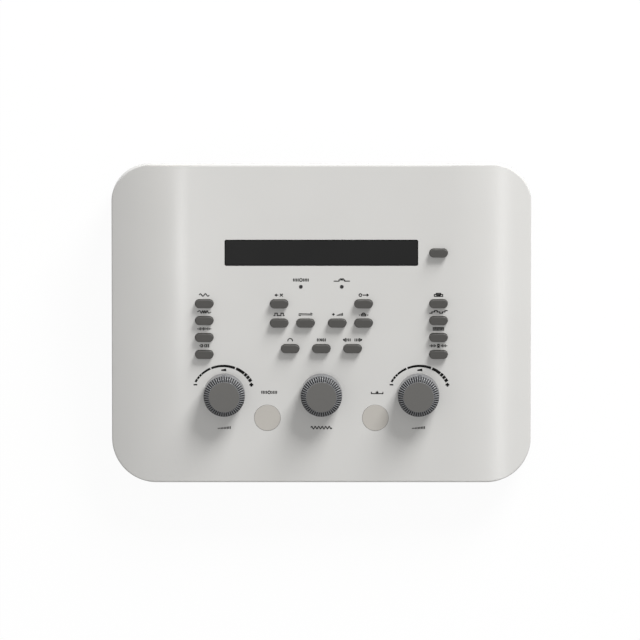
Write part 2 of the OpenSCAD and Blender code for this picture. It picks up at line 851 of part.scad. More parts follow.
module board_ribbon() {
    deep = board_back + header_h;
    down = [sin(slope), -cos(slope)];
    start = [upper_header_y * cos(slope), case_h + upper_header_y * sin(slope)] + deep * down;
    end = [lower_header_y, board_top_h + header_h];
    b = start + ribbon_pull * down;
    c = end + [0, ribbon_pull];
    steps = [for (i = [0:ribbon_steps]) i / ribbon_steps];
    rim = [for (u = steps) let (h = heading(start, b, c, end, u), n = [-h.y, h.x] / norm(h))
        [on_curve(start, b, c, end, u), n * ribbon_t / 2]];
    band = concat([for (r = rim) r[0] + r[1]],
                  [for (i = [ribbon_steps:-1:0]) rim[i][0] - rim[i][1]]);
    color("#8C8E92") translate([-ribbon_w / 2, 0, 0])
        rotate([90, 0, 90]) linear_extrude(ribbon_w) polygon(band);
}

module socket_plate() {
    color(base_colour) difference() {
        block([-plate_w / 2, plate_in_y, floor_z], [plate_w / 2, plate_y, plate_top - plate_gap]);
        for (x = PHONES)
            rod_y(x, socket_h, phone_bush_d + 2 * hole_gap, plate_in_y - cut, plate_y + cut);
        for (x = MINIS)
            rod_y(x, socket_h, mini_bush_d + 2 * hole_gap, plate_in_y - cut, plate_y + cut);
        for (s = [[usb_x, usb_w, usb_h], [dc_x, dc_w, dc_h]])
            block([s[0] - s[1] / 2 - hole_gap, plate_in_y - cut, board_top_h - hole_gap],
                  [s[0] + s[1] / 2 + hole_gap, plate_y + cut, board_top_h + s[2] + hole_gap]);
    }
}

// A bushed socket: a body on the main board, a bush through the plate and a blind bore
module socket(x, w, h, bush_d, bush_out, bore, deep) {
    mouth = plate_y + bush_out;
    difference() {
        union() {
            block([x - w / 2, mouth - deep - back_wall, board_top_h],
                  [x + w / 2, plate_in_y, board_top_h + h]);
            rod_y(x, socket_h, bush_d, plate_in_y - cut, mouth);
        }
        rod_y(x, socket_h, bore, mouth - deep, mouth + cut);
    }
}

module phone_sockets() {
    color(dark_colour) for (x = PHONES)
        socket(x, phone_w, phone_h, phone_bush_d, phone_bush_out, phone_bore, phone_deep);
}

module mini_sockets() {
    color(dark_colour) for (x = MINIS)
        socket(x, mini_w, mini_h, mini_bush_d, mini_bush_out, mini_bore, mini_deep);
}

module phone_socket_nuts() {
    color(metal_colour) for (x = PHONES) difference() {
        on_plate(x) cylinder(d = phone_bush_d + 2 * nut_rim, h = nut_t, $fn = 6);
        rod_y(x, socket_h, phone_bush_d + 2 * thread_gap, plate_y - cut, plate_y + nut_t + cut);
    }
}

module mini_socket_nuts() {
    color(metal_colour) for (x = MINIS) difference() {
        on_plate(x) cylinder(d = mini_bush_d + 1.5 * nut_rim, h = nut_t);
        rod_y(x, socket_h, mini_bush_d + 2 * thread_gap, plate_y - cut, plate_y + nut_t + cut);
    }
}

// Puts its children on the plate's outer face at x, facing +Y
module on_plate(x) {
    translate([x, plate_y, socket_h]) rotate([-90, 0, 0]) children();
}

module usb_socket() {
    mid = board_top_h + usb_h / 2;
    color(metal_colour) {
        difference() {
            block([usb_x - usb_w / 2, plate_y - usb_l, board_top_h],
                  [usb_x + usb_w / 2, plate_y, board_top_h + usb_h]);
            block([usb_x - usb_mouth_w / 2, plate_y - usb_mouth_deep, mid - usb_mouth_h / 2],
                  [usb_x + usb_mouth_w / 2, plate_y + cut, mid + usb_mouth_h / 2]);
        }
        block([usb_x - usb_tongue_w / 2, plate_y - usb_mouth_deep - 0.5, mid - usb_tongue_h / 2],
              [usb_x + usb_tongue_w / 2, plate_y - pin_sunk, mid + usb_tongue_h / 2]);
    }
}

module dc_inlet() {
    color(dark_colour) {
        difference() {
            block([dc_x - dc_w / 2, plate_y - dc_l, board_top_h],
                  [dc_x + dc_w / 2, plate_y, board_top_h + dc_h]);
            rod_y(dc_x, dc_axis_h, dc_mouth_d, plate_y - dc_mouth_deep, plate_y + cut);
        }
        rod_y(dc_x, dc_axis_h, dc_pin_d, plate_y - dc_mouth_deep - 0.5, plate_y - pin_sunk);
    }
}

// ---- What is drawn ----

top_cover();
bottom_cover();
socket_plate();
display_window();
display_frame();
display_glass();
display_backlight();
display_board();
display_spacers();
display_screws();
key_board();
key_switches();
light_pipes();
lamp_leds();
encoder_housings();
key_board_screws();
main_board();
processor_chips();
output_relays();
filter_capacitors();
main_board_screws();
ribbon_headers();
board_ribbon();
phone_sockets();
phone_socket_nuts();
mini_sockets();
mini_socket_nuts();
usb_socket();
dc_inlet();
case_screws();
rubber_feet();
for (k = KEYS) key_cap(k[1]);
for (b = BUTTONS) round_button(b[1]);
for (c = CONTROLS) knob(c[1]);
for (c = CONTROLS) encoder_shaft(c[1]);
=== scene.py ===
"""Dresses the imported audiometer: covers, print, display, keys, knobs, sockets and feet."""
import json
import math

import bmesh
import bpy
from mathutils import Matrix, Vector, geometry


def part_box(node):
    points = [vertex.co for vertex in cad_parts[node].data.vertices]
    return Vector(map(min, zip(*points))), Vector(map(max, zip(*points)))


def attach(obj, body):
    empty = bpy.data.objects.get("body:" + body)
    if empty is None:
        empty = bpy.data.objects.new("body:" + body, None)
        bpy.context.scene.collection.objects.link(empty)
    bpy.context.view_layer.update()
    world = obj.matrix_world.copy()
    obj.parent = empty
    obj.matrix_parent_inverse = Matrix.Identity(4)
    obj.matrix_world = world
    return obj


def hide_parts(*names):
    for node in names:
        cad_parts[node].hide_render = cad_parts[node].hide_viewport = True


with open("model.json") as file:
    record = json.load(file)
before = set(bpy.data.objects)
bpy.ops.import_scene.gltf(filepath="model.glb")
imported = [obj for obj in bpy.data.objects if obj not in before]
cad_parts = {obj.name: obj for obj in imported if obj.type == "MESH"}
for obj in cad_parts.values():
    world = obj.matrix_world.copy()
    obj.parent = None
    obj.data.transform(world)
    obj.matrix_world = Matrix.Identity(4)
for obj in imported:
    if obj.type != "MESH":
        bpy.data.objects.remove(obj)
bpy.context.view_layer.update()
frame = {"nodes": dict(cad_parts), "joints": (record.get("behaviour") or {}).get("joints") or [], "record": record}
nodes = frame["nodes"]
scene = bpy.context.scene
scene.view_settings.view_transform = "Standard"
MM = 0.001

# ---------------------------------------------------------------------------
# Camera, floor and light.
# A copy stand: the camera hangs far above the table with a long lens, so the
# case is seen almost without perspective on a white sweep.
# ---------------------------------------------------------------------------


def linear(code):
    """An sRGB colour such as "D2D1CF" as linear light, opaque."""
    parts = [int(code[i:i + 2], 16) / 255 for i in (0, 2, 4)]
    return [p / 12.92 if p <= 0.04045 else ((p + 0.055) / 1.055) ** 2.4 for p in parts] + [1.0]


def add(tree, kind, settings=None, **feeds):
    """Adds a node, sets its options, and fills its inputs with values or links.

    An input goes by its name, or by its number as in0, in1 and so on.
    """
    node = tree.nodes.new(kind)
    for name, value in (settings or {}).items():
        setattr(node, name, value)
    for name, value in feeds.items():
        which = int(name[2:]) if name.startswith("in") else name.replace("_", " ")
        socket = node.inputs[which]
        if isinstance(value, bpy.types.NodeSocket):
            tree.links.new(value, socket)
        else:
            socket.default_value = value
    return node


def empty_material(name):
    """A new material whose node tree is still empty, and that tree."""
    material = bpy.data.materials.new(name)
    material.use_nodes = True
    material.node_tree.nodes.clear()
    return material, material.node_tree


view_width = 488.3 * MM
pixel = view_width / 640
aim_x, aim_y = -1.35 * pixel, 3.15 * pixel
eye_height = 12.0
# At this height, near the middle of the sloping top, the view is view_width across.
sharp_height = 50 * MM
camera_data = bpy.data.cameras.new("camera")
camera_data.type = "PERSP"
camera_data.sensor_width = 36
camera_data.lens = camera_data.sensor_width * (eye_height - sharp_height) / view_width
camera_data.clip_end = 40
camera = bpy.data.objects.new("camera", camera_data)
camera.location = (aim_x, aim_y, eye_height)
scene.collection.objects.link(camera)
scene.camera = camera

floor_half = 6.0
floor_mesh = bpy.data.meshes.new("floor")
corners = [(floor_half * x, floor_half * y, 0) for x, y in ((-1, -1), (1, -1), (1, 1), (-1, 1))]
floor_mesh.from_pydata(corners, [], [(0, 1, 2, 3)])
floor = bpy.data.objects.new("floor", floor_mesh)
scene.collection.objects.link(floor)


def in_sight(tree):
    """One for what the camera sees, straight on, mirrored or through glass; zero for light."""
    ray = add(tree, "ShaderNodeLightPath").outputs
    mirrored_or_clear = add(tree, "ShaderNodeMath", {"operation": "MAXIMUM"},
                            in0=ray["Is Glossy Ray"], in1=ray["Is Transmission Ray"])
    return add(tree, "ShaderNodeMath", {"operation": "MAXIMUM"}, in0=ray["Is Camera Ray"],
               in1=mirrored_or_clear.outputs[0]).outputs[0]


# White paper: it looks pure white with a faint shadow, and throws back a weaker light.
paper, tree = empty_material("paper_sweep")
seen = in_sight(tree)
matt = add(tree, "ShaderNodeBsdfDiffuse", Color=linear("F2F2F2"))
bounce = add(tree, "ShaderNodeBsdfDiffuse", Color=linear("9A9A9A"))
glow = add(tree, "ShaderNodeEmission", Color=(1, 1, 1, 1), Strength=1.0)
shadow_share = 0.05
mostly = add(tree, "ShaderNodeMixShader", Fac=shadow_share, in1=glow.outputs[0],
             in2=matt.outputs[0])
either = add(tree, "ShaderNodeMixShader", Fac=seen, in1=bounce.outputs[0],
             in2=mostly.outputs[0])
add(tree, "ShaderNodeOutputMaterial", Surface=either.outputs[0])
floor_mesh.materials.append(paper)

# A white room: its light is stronger from the front left and above than from the rear right.
brighter_from = (-0.45, -0.3, 0.84)
weakest, strongest = 0.295, 0.665
world = bpy.data.worlds.new("studio")
scene.world = world
world.use_nodes = True
tree = world.node_tree
tree.nodes.clear()
towards = add(tree, "ShaderNodeVectorMath", {"operation": "DOT_PRODUCT"},
              in0=add(tree, "ShaderNodeTexCoord").outputs["Generated"], in1=brighter_from)
level = add(tree, "ShaderNodeMapRange", Value=towards.outputs["Value"], To_Min=weakest,
            To_Max=strongest)
fill = add(tree, "ShaderNodeBackground", Color=linear("F5F5F4"), Strength=level.outputs[0])
white = add(tree, "ShaderNodeBackground", Color=(1, 1, 1, 1), Strength=1.0)
sky = add(tree, "ShaderNodeMixShader", Fac=in_sight(tree), in1=fill.outputs[0],
          in2=white.outputs[0])
add(tree, "ShaderNodeOutputWorld", Surface=sky.outputs[0])


def lamp(name, place, width, length, watts, colour, along=(0, 0, 1), shine_only=False):
    """An area lamp at a place in metres, aimed at the case, its length close to along.

    One that only shines shows in reflections and lights no matt surface.
    """
    data = bpy.data.lights.new(name, "AREA")
    data.shape = "RECTANGLE"
    data.size = width
    data.size_y = length
    data.energy = watts
    data.color = linear(colour)[:3]
    holder = bpy.data.objects.new(name, data)
    away = Vector(place).normalized()
    across = Vector(along).cross(away).normalized()
    turn = Matrix((across, away.cross(across), away)).transposed().to_4x4()
    holder.matrix_world = Matrix.Translation(place) @ turn
    holder.visible_diffuse = not shine_only
    holder.visible_camera = False
    scene.collection.objects.link(holder)


# The key light stands behind on the right. The strips put the sheens on the sides and knobs.
lamp("key_light", (1.55, 2.92, 1.87), 1.5, 1.9, 206, "FFFFFE")
lamp("right_strip", (0.526, -0.292, 0.818), 0.06, 0.42, 0.55, "FFFFFF", (0, 1, 0), True)
lamp("left_strip", (-0.182, -0.247, 0.911), 0.06, 0.16, 0.34, "FFFFFF", (0, 1, 0), True)
lamp("warm_strip", (-0.24, 0.075, 0.968), 0.08, 0.43, 0.9, "FFE6C4", (0.84, 0.54, 0), True)

# ---------------------------------------------------------------------------
# The sloping top.
# One tilted face carries everything the user touches. The turn axis of the
# middle knob stands square on it, which gives its slope and its height.
# ---------------------------------------------------------------------------

joints = {joint["name"]: joint for joint in frame["joints"]}
middle_turn = joints["frequency_turn"]
square_up = Vector(middle_turn["axis"]).normalized()
slope = math.atan2(-square_up.y, square_up.z)
up_slope = Vector((0, math.cos(slope), math.sin(slope)))
top_h = middle_turn["pos_m"][2] - middle_turn["pos_m"][1] * math.tan(slope)


def on_top(x, s, up=0.0):
    """A point x to the right, s up the slope and up above the top's face."""
    return Vector((x, 0, top_h)) + up_slope * s + square_up * up


def down_slope_of(point):
    """The x and s on the slope of a point, and its height above the face."""
    off = Vector(point) - Vector((0, 0, top_h))
    return off.x, off.dot(up_slope), off.dot(square_up)


def crown_of(node, level):
    """The middle, as x and s, of a node's flat upper face, which lies level above the top."""
    spots = [down_slope_of(v.co) for v in nodes[node].data.vertices]
    crown = [spot for spot in spots if spot[2] > level - 0.02 * MM]
    return [(min(v[k] for v in crown) + max(v[k] for v in crown)) / 2 for k in (0, 1)]


# ---------------------------------------------------------------------------
# Top cover.
# Injection moulded in light grey ABS: a flat middle between two curved sides,
# every outer edge rounded. It drops over the tray and is screwed from below.
# ---------------------------------------------------------------------------

case_low, case_high = (Vector(corner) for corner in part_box("top_cover"))
half_w, half_d = case_high.x, case_high.y
flat_half = 100 * MM
side_r = 170 * MM
rear_r = 28 * MM
front_r = 34 * MM
rear_bevel = 1.2 * MM
# A second outline, square to the slope, trims the corners a little further.
lean_r = 32.8 * MM
lean_half = half_w + 0.6 * MM
lean_s = (half_d - rear_bevel) / math.cos(slope)
edge_r = 0.7 * MM
# The rounded form lies this far inside the plain one.
skin = 0.02 * MM


def plan_distance(x, y):
    """How far a point is outside the case's outline, seen from above."""
    r = rear_r if y > 0 else front_r
    dx, dy = abs(x) - half_w + r, abs(y) - half_d + r
    return math.hypot(max(dx, 0), max(dy, 0)) + min(max(dx, dy), 0) - r


def case_distance(point):
    """How far a point is outside the rounded top cover."""
    x, s, up = down_slope_of(point)
    dx, dy = abs(x) - lean_half + lean_r, s - lean_s + lean_r
    lean = math.hypot(max(dx, 0), max(dy, 0)) + min(max(dx, dy), 0) - lean_r
    side = max(plan_distance(point[0], point[1]), lean)
    across = max(abs(x) - flat_half, 0)
    top = math.hypot(across, max(up + side_r, 0)) - side_r
    a, b = side + edge_r + skin, top + edge_r + skin
    return math.hypot(max(a, 0), max(b, 0)) + min(max(a, b), 0) - edge_r


def surface_along(start, direction, reach):
    """The point where a ray from inside the cover leaves it."""
    near, far = 0.0, reach
    for _ in range(30):
        middle = (near + far) / 2
        if case_distance(start + direction * middle) < 0:
            near = middle
        else:
            far = middle
    return start + direction * near


def outline(inset):
    """The case's outline moved in by inset, as points with their outward direction."""
    arc_steps, side_steps, long_side = 18, 16, 30 * MM
    loop = []
    spots = [(-half_w, -half_d, front_r, math.pi), (half_w, -half_d, front_r, 1.5 * math.pi),
             (half_w, half_d, rear_r, 0), (-half_w, half_d, rear_r, 0.5 * math.pi)]
    for x, y, r, first in spots:
        centre = Vector((x - math.copysign(r, x), y - math.copysign(r, y), 0))
        for i in range(arc_steps + 1):
            a = first + 0.5 * math.pi * i / arc_steps
            out = Vector((math.cos(a), math.sin(a), 0))
            loop.append((centre + out * (r - inset), out))
    full = []
    for (p, out), (q, _) in zip(loop, loop[1:] + loop[:1]):
        full.append((p, out))
        if (q - p).length > long_side:
            full += [(p.lerp(q, i / side_steps), out) for i in range(1, side_steps)]
    return full


def mesh_object(name, verts, faces, material=None, smooth=True):
    """A new object at the origin from points and faces."""
    mesh = bpy.data.meshes.new(name)
    mesh.from_pydata([tuple(v) for v in verts], [], faces)
    mesh.update()
    thing = bpy.data.objects.new(name, mesh)
    scene.collection.objects.link(thing)
    if material:
        mesh.materials.append(material)
    if smooth:
        mesh.polygons.foreach_set("use_smooth", [True] * len(mesh.polygons))
    return thing


def stacked(rings):
    """The faces of a skin through rings of equally many points, closed at its lower end."""
    size = len(rings[0])
    faces = [tuple(range(size - 1, -1, -1))]
    for k in range(len(rings) - 1):
        for i in range(size):
            j = (i + 1) % size
            faces.append((k * size + i, k * size + j, (k + 1) * size + j, (k + 1) * size + i))
    return faces


def face_outwards(thing):
    """Turns every face of a closed mesh to its outer side."""
    work = bmesh.new()
    work.from_mesh(thing.data)
    bmesh.ops.recalc_face_normals(work, faces=work.faces)
    work.to_mesh(thing.data)
    work.free()


def merge_doubles(mesh, gap):
    """Joins a mesh's points that lie within a gap, and removes the slivers that this leaves."""
    work = bmesh.new()
    work.from_mesh(mesh)
    bmesh.ops.remove_doubles(work, verts=work.verts, dist=gap)
    bmesh.ops.dissolve_degenerate(work, edges=work.edges, dist=gap / 2)
    work.to_mesh(mesh)
    work.free()


def merged_copy(node, name):
    """A CAD node's mesh copied, with its doubles merged."""
    thing = bpy.data.objects.new(name, nodes[node].data.copy())
    scene.collection.objects.link(thing)
    merge_doubles(thing.data, 0.002 * MM)
    thing.data.materials.clear()
    return thing


def settle(thing):
    """Turns an object's modifiers into a plain mesh."""
    bpy.context.view_layer.update()
    graph = bpy.context.evaluated_depsgraph_get()
    plain = bpy.data.meshes.new_from_object(thing.evaluated_get(graph))
    thing.modifiers.clear()
    old = thing.data
    thing.data = plain
    bpy.data.meshes.remove(old)
    return thing


def soften(thing, degrees):
    """Smooth shading that keeps flat faces even, and edges sharp past an angle."""
    thing.data.polygons.foreach_set("use_smooth", [True] * len(thing.data.polygons))
    thing.data.set_sharp_from_angle(angle=math.radians(degrees))
    even = thing.modifiers.new("even", "WEIGHTED_NORMAL")
    even.keep_sharp = True
    even.weight = 100
    return settle(thing)


def keep_inside(thing, envelope):
    """Cuts an object to the inside of a rounded envelope, which is then removed."""
    cutter = thing.modifiers.new("rounded", "BOOLEAN")
    cutter.operation = "INTERSECT"
    cutter.solver = "EXACT"
    cutter.object = envelope
    settle(thing)
    bpy.data.objects.remove(envelope)
    merge_doubles(thing.data, 0.004 * MM)


def coat(thing, material):
    """Gives an object one material all over."""
    thing.data.materials.clear()
    thing.data.materials.append(material)


def finish_piece(thing, material, node, body):
    """Gives a piece its material, unless it has its own, hides its CAD node and hangs it on its body."""
    if material:
        coat(thing, material)
    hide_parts(node)
    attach(thing, body)


# The rounded outside: rings round the rim, then a fine net over the top.
rim_in = 6 * MM
rim_low = case_low.z - 2 * MM
ray_steps, lowest_ray, highest_ray = 22, -42, 90
rings = [[]]
rim = outline(rim_in)
for place, out in rim:
    rings[0].append(Vector((place.x, place.y, rim_low)) + out * (rim_in - skin))
for step in range(ray_steps + 1):
    tilt = math.radians(lowest_ray + (highest_ray - lowest_ray) * step / ray_steps)
    ring = []
    for place, out in rim:
        x, y = place.x, place.y
        drop = side_r - math.sqrt(side_r ** 2 - max(abs(x) - flat_half, 0) ** 2)
        roof = top_h + y * math.tan(slope) - drop / math.cos(slope)
        start = Vector((x, y, max(roof - rim_in, case_low.z + 1 * MM)))
        ray = out * math.cos(tilt) + Vector((0, 0, math.sin(tilt)))
        ring.append(surface_along(start, ray, 20 * MM))
    rings.append(ring)
count = len(rim)
shell_verts = [p for ring in rings for p in ring]
shell_faces = stacked(rings)

net = [Vector(down_slope_of(p)[:2]) for p in rings[-1]]
net_edges = [(i, (i + 1) % count) for i in range(count)]
lane_gap, knot_gap, end_gap, rim_gap = 3 * MM, 6 * MM, 4 * MM, 2.5 * MM
lanes = [flat_half + lane_gap * i for i in range(19)]
for x in [-v for v in lanes] + lanes:
    s = -half_d
    while s < half_d:
        inside = min(p.y for p in net) + end_gap < s < max(p.y for p in net) - end_gap
        if inside and plan_distance(x, s * math.cos(slope)) < -rim_in - rim_gap:
            net.append(Vector((x, s)))
        s += knot_gap
flat, _, tris, origin, _, _ = geometry.delaunay_2d_cdt(net, net_edges, [], 1, 1e-7)
first = len(shell_verts)
number = []
for i, p in enumerate(flat):
    if origin[i] and origin[i][0] < count:
        number.append(first - count + origin[i][0])
        continue
    number.append(len(shell_verts))
    up = math.sqrt((side_r - skin) ** 2 - max(abs(p.x) - flat_half, 0) ** 2) - side_r
    shell_verts.append(on_top(p.x, p.y, up))
shell_faces += [tuple(number[i] for i in tri) for tri in tris]
envelope = mesh_object("envelope", shell_verts, shell_faces)
face_outwards(envelope)


def moulded(name, code, roughness, grain, depth, shade=0.03, ior=1.5):
    """Moulded plastic: a faint flow-line shade, and a spark-eroded grain of a width and depth."""
    material, tree = empty_material(name)
    place = add(tree, "ShaderNodeTexCoord").outputs["Object"]
    drift = add(tree, "ShaderNodeTexNoise", Vector=place, Scale=1 / (60 * MM), Detail=2.0)
    sparks = add(tree, "ShaderNodeTexNoise", Vector=place, Scale=1 / grain, Detail=3.0,
                 Roughness=0.6)
    base = linear(code)
    dark = [c * (1 - shade) for c in base[:3]] + [1]
    pale = [min(c * (1 + shade), 1) for c in base[:3]] + [1]
    tone = add(tree, "ShaderNodeMix", {"data_type": "RGBA"}, in0=drift.outputs["Fac"],
               in6=dark, in7=pale)
    gloss = add(tree, "ShaderNodeMapRange", Value=sparks.outputs["Fac"], To_Min=roughness - 0.04,
                To_Max=roughness + 0.04)
    bump = add(tree, "ShaderNodeBump", Strength=0.5, Distance=depth,
               Height=sparks.outputs["Fac"])
    shader = add(tree, "ShaderNodeBsdfPrincipled", Base_Color=tone.outputs[2],
                 Roughness=gloss.outputs[0], Normal=bump.outputs[0], IOR=ior)
    add(tree, "ShaderNodeOutputMaterial", Surface=shader.outputs[0])
    return material


# Light grey ABS, spark-eroded mould: an even satin sheen, grain just too fine to see.
light_abs = moulded("light_grey_abs", "D3D2D0", 0.22, 0.35 * MM, 0.006 * MM)


def case_normal(point):
    """The direction in which the rounded top cover faces at a point of its skin."""
    step = 0.05 * MM
    sides = []
    for axis in (Vector((step, 0, 0)), Vector((0, step, 0)), Vector((0, 0, step))):
        sides.append(case_distance(point + axis) - case_distance(point - axis))
    return Vector(sides).normalized()


def shade_as_designed(mesh):
    """Gives the outer skin the exact normals of its shape, whatever its triangles are."""
    skin_gap, widest = 0.03 * MM, math.radians(20)
    found = {}
    normals = [Vector(corner.vector) for corner in mesh.corner_normals]
    for polygon in mesh.polygons:
        for loop in polygon.loop_indices:
            index = mesh.loops[loop].vertex_index
            if index not in found:
                point = mesh.vertices[index].co
                near = abs(case_distance(point)) < skin_gap
                found[index] = case_normal(point) if near else None
            exact = found[index]
            if exact and exact.dot(polygon.normal) > math.cos(widest):
                normals[loop] = exact
    mesh.normals_split_custom_set(normals)


top_cover = merged_copy("top_cover", "top_cover_shell")
keep_inside(top_cover, envelope)
soften(top_cover, 24)
shade_as_designed(top_cover.data)
finish_piece(top_cover, light_abs, "top_cover", "root")

# ---------------------------------------------------------------------------
# Bottom cover.
# A shallow tray in darker grey ABS, stepped in under the top cover, with its
# screw heads sunk in pockets. Its lower edge is eased with a small radius.
# ---------------------------------------------------------------------------

tray_low, tray_high = (Vector(corner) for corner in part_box("bottom_cover"))
tray_step = half_w - tray_high.x
ease_r = 1.6 * MM
ease_steps = 6
tray_rings = []
for step in range(ease_steps + 1):
    a = 0.5 * math.pi * step / ease_steps
    inset = tray_step + skin + ease_r * (1 - math.sin(a))
    level = tray_low.z + skin + ease_r * (1 - math.cos(a))
    tray_rings.append([Vector((p.x, p.y, level)) for p, _ in outline(inset)])
above = tray_high.z + 1 * MM
tray_rings.append([Vector((p.x, p.y, above)) for p, _ in outline(tray_step + skin)])
tray_faces = stacked(tray_rings)
last = len(tray_rings) * count
tray_faces.append(tuple(range(last - count, last)))
envelope = mesh_object("envelope", [p for ring in tray_rings for p in ring], tray_faces)
face_outwards(envelope)

# Grey ABS with a coarser spark finish than the top, which hides scuffs.
grey_abs = moulded("grey_abs", "8A8B8D", 0.5, 0.4 * MM, 0.01 * MM)

tray = merged_copy("bottom_cover", "bottom_cover_shell")
keep_inside(tray, envelope)
soften(tray, 24)
finish_piece(tray, grey_abs, "bottom_cover", "root")

# ---------------------------------------------------------------------------
# Rubber feet.
# Four moulded rubber discs, bonded into pockets under the tray. Their lower
# edge is eased so that they slide over a table top without catching.
# ---------------------------------------------------------------------------


def eased(node, name, width, chosen, segments=3):
    """A CAD node's copy whose chosen edges are rounded over a width."""
    thing = merged_copy(node, name)
    work = bmesh.new()
    work.from_mesh(thing.data)
    bmesh.ops.dissolve_limit(work, angle_limit=math.radians(1.5), verts=work.verts,
                             edges=work.edges)
    edges = [edge for edge in work.edges if len(edge.link_faces) == 2 and chosen(edge)]
    bmesh.ops.bevel(work, geom=edges, offset=width, offset_type="OFFSET", segments=segments,
                    profile=0.5, affect="EDGES", clamp_overlap=True)
    work.to_mesh(thing.data)
    work.free()
    return soften(thing, 24)


def crisp(edge):
    """Whether an edge is an outer corner of more than 50 degrees."""
    return edge.is_convex and edge.calc_face_angle() > math.radians(50)


# Moulded rubber: nearly black and dull, with a faint mottle from the mould.
foot_rubber = moulded("moulded_rubber", "2A2A2B", 0.75, 0.6 * MM, 0.02 * MM, shade=0.12)
feet = eased("rubber_feet", "rubber_feet_eased", 0.5 * MM, crisp)
finish_piece(feet, foot_rubber, "rubber_feet", "root")

# ---------------------------------------------------------------------------
# Display window.
# A tinted acrylic pane, bonded into its recess almost level with the top, with a
# near-black margin painted as the shade along the recess edge. The display behind it is off.
# ---------------------------------------------------------------------------

pane_x, pane_s = crown_of("display_window", -0.2 * MM)
pane_w, pane_b = 147.4 * MM, 20.1 * MM
shade_margin = 0.8 * MM


def outside(tree, value, middle, half):
    """A node output that goes from 0 to 1 where a coordinate leaves middle +- half."""
    off = add(tree, "ShaderNodeMath", {"operation": "SUBTRACT"}, in0=value, in1=middle)
    size = add(tree, "ShaderNodeMath", {"operation": "ABSOLUTE"}, in0=off.outputs[0])
    return add(tree, "ShaderNodeMapRange", Value=size.outputs[0], From_Min=half - 0.1 * MM,
               From_Max=half + 0.1 * MM).outputs[0]


# Smoked cast acrylic: the same even dark grey from every side, with a clear,
# slightly wavy shine; its margin is painted near black as the shade along the recess edge.
smoked_acrylic, tree = empty_material("smoked_acrylic")
place = add(tree, "ShaderNodeTexCoord").outputs["Object"]
across = add(tree, "ShaderNodeSeparateXYZ", Vector=place).outputs["X"]
centre_s = pane_s + top_h * math.sin(slope)
along = add(tree, "ShaderNodeVectorMath", {"operation": "DOT_PRODUCT"}, in0=place,
            in1=tuple(up_slope)).outputs["Value"]
# A band this wide round the pane's edge is painted near black, as painted shade.
ends = outside(tree, across, pane_x, pane_w / 2 - shade_margin)
sides = outside(tree, along, centre_s, pane_b / 2 - shade_margin)
edge = add(tree, "ShaderNodeMath", {"operation": "MAXIMUM"}, in0=ends, in1=sides)
cloud = add(tree, "ShaderNodeTexNoise", Vector=place, Scale=1 / (25 * MM), Detail=1.0)
field = add(tree, "ShaderNodeMix", {"data_type": "RGBA"}, in0=cloud.outputs["Fac"],
            in6=linear("202020"), in7=linear("242424"))
tint = add(tree, "ShaderNodeMix", {"data_type": "RGBA"}, in0=edge.outputs[0],
           in6=field.outputs[2], in7=linear("080808"))
wave = add(tree, "ShaderNodeTexNoise", Vector=place, Scale=1 / (8 * MM), Detail=1.0)
bump = add(tree, "ShaderNodeBump", Strength=0.2, Distance=0.01 * MM,
           Height=wave.outputs["Fac"])
gloss = add(tree, "ShaderNodeMapRange", Value=cloud.outputs["Fac"], To_Min=0.12, To_Max=0.16)
shader = add(tree, "ShaderNodeBsdfPrincipled", Base_Color=tint.outputs[2],
             Roughness=gloss.outputs[0], Normal=bump.outputs[0], IOR=1.49,
             Specular_IOR_Level=0.12)
add(tree, "ShaderNodeOutputMaterial", Surface=shader.outputs[0])

pane = eased("display_window", "display_pane", 0.15 * MM, crisp, segments=2)
finish_piece(pane, smoked_acrylic, "display_window", "root")

# ---------------------------------------------------------------------------
# Keys.
# Eighteen pill-shaped caps moulded in dark grey ABS. A flange keeps each one
# under the top cover, and its pin presses the switch below it.
# ---------------------------------------------------------------------------

key_names = [name for name in nodes if name.endswith("_key")]
key_ease, key_top = 0.5 * MM, 3.8 * MM


def on_crown(level):
    """A test for the edges that run round a cap's upper face."""
    def test(edge):
        return all(down_slope_of(v.co)[2] > level - 0.02 * MM for v in edge.verts)
    return test


# Dark grey ABS: an even satin face, its grain just too fine to see.
key_abs = moulded("dark_grey_abs", "3C3B39", 0.5, 0.25 * MM, 0.006 * MM, shade=0.02)
for name in key_names:
    cap = eased(name, name.replace("_key", "_keycap"), key_ease, on_crown(key_top), 5)
    finish_piece(cap, key_abs, name, name)

# ---------------------------------------------------------------------------
# Round buttons.
# Two large discs in warm grey ABS, level with the top so that a fingertip
# rests on them. Only a fine gap shows round each.
# ---------------------------------------------------------------------------

# Warm grey ABS with the same satin face as the cover.
button_abs = moulded("warm_grey_abs", "BBB7B1", 0.45, 0.35 * MM, 0.006 * MM, shade=0.015)
for name in [name for name in nodes if name.endswith("_button")]:
    disc = eased(name, name + "_disc", 0.12 * MM, on_crown(0.0), 2)
    finish_piece(disc, button_abs, name, name)

# ---------------------------------------------------------------------------
# Indicator lamps.
# Two black light pipes with domed ends, pushed through the top from inside.
# Each carries the light of a small lamp on the key board.
# ---------------------------------------------------------------------------

# Black polycarbonate: near black while it is unlit, with a clear shine.
pipe_plastic = moulded("black_polycarbonate", "141416", 0.15, 0.5 * MM, 0.002 * MM, shade=0.1)
pipes = eased("light_pipes", "light_pipe_domes", 0.15 * MM, on_crown(0.2 * MM), 3)
finish_piece(pipes, pipe_plastic, "light_pipes", "root")

# ---------------------------------------------------------------------------
# Knobs.
# Three moulded knobs, each pressed on its encoder's shaft: a smooth skirt, a
# slanting shoulder with fine ribs for grip, and a plain flat top.
# ---------------------------------------------------------------------------

# All in mm and degrees. The shoulder is an arc that leans over between two tilts on its way
# out, and the grooves between its ribs are one depth all along it.
knob_r, knob_high, knob_sides = 15.8, 16.3, 104
shoulder_r, first_tilt, last_tilt = 5.6, 10, 62
rib_count, groove = 50, 1.5
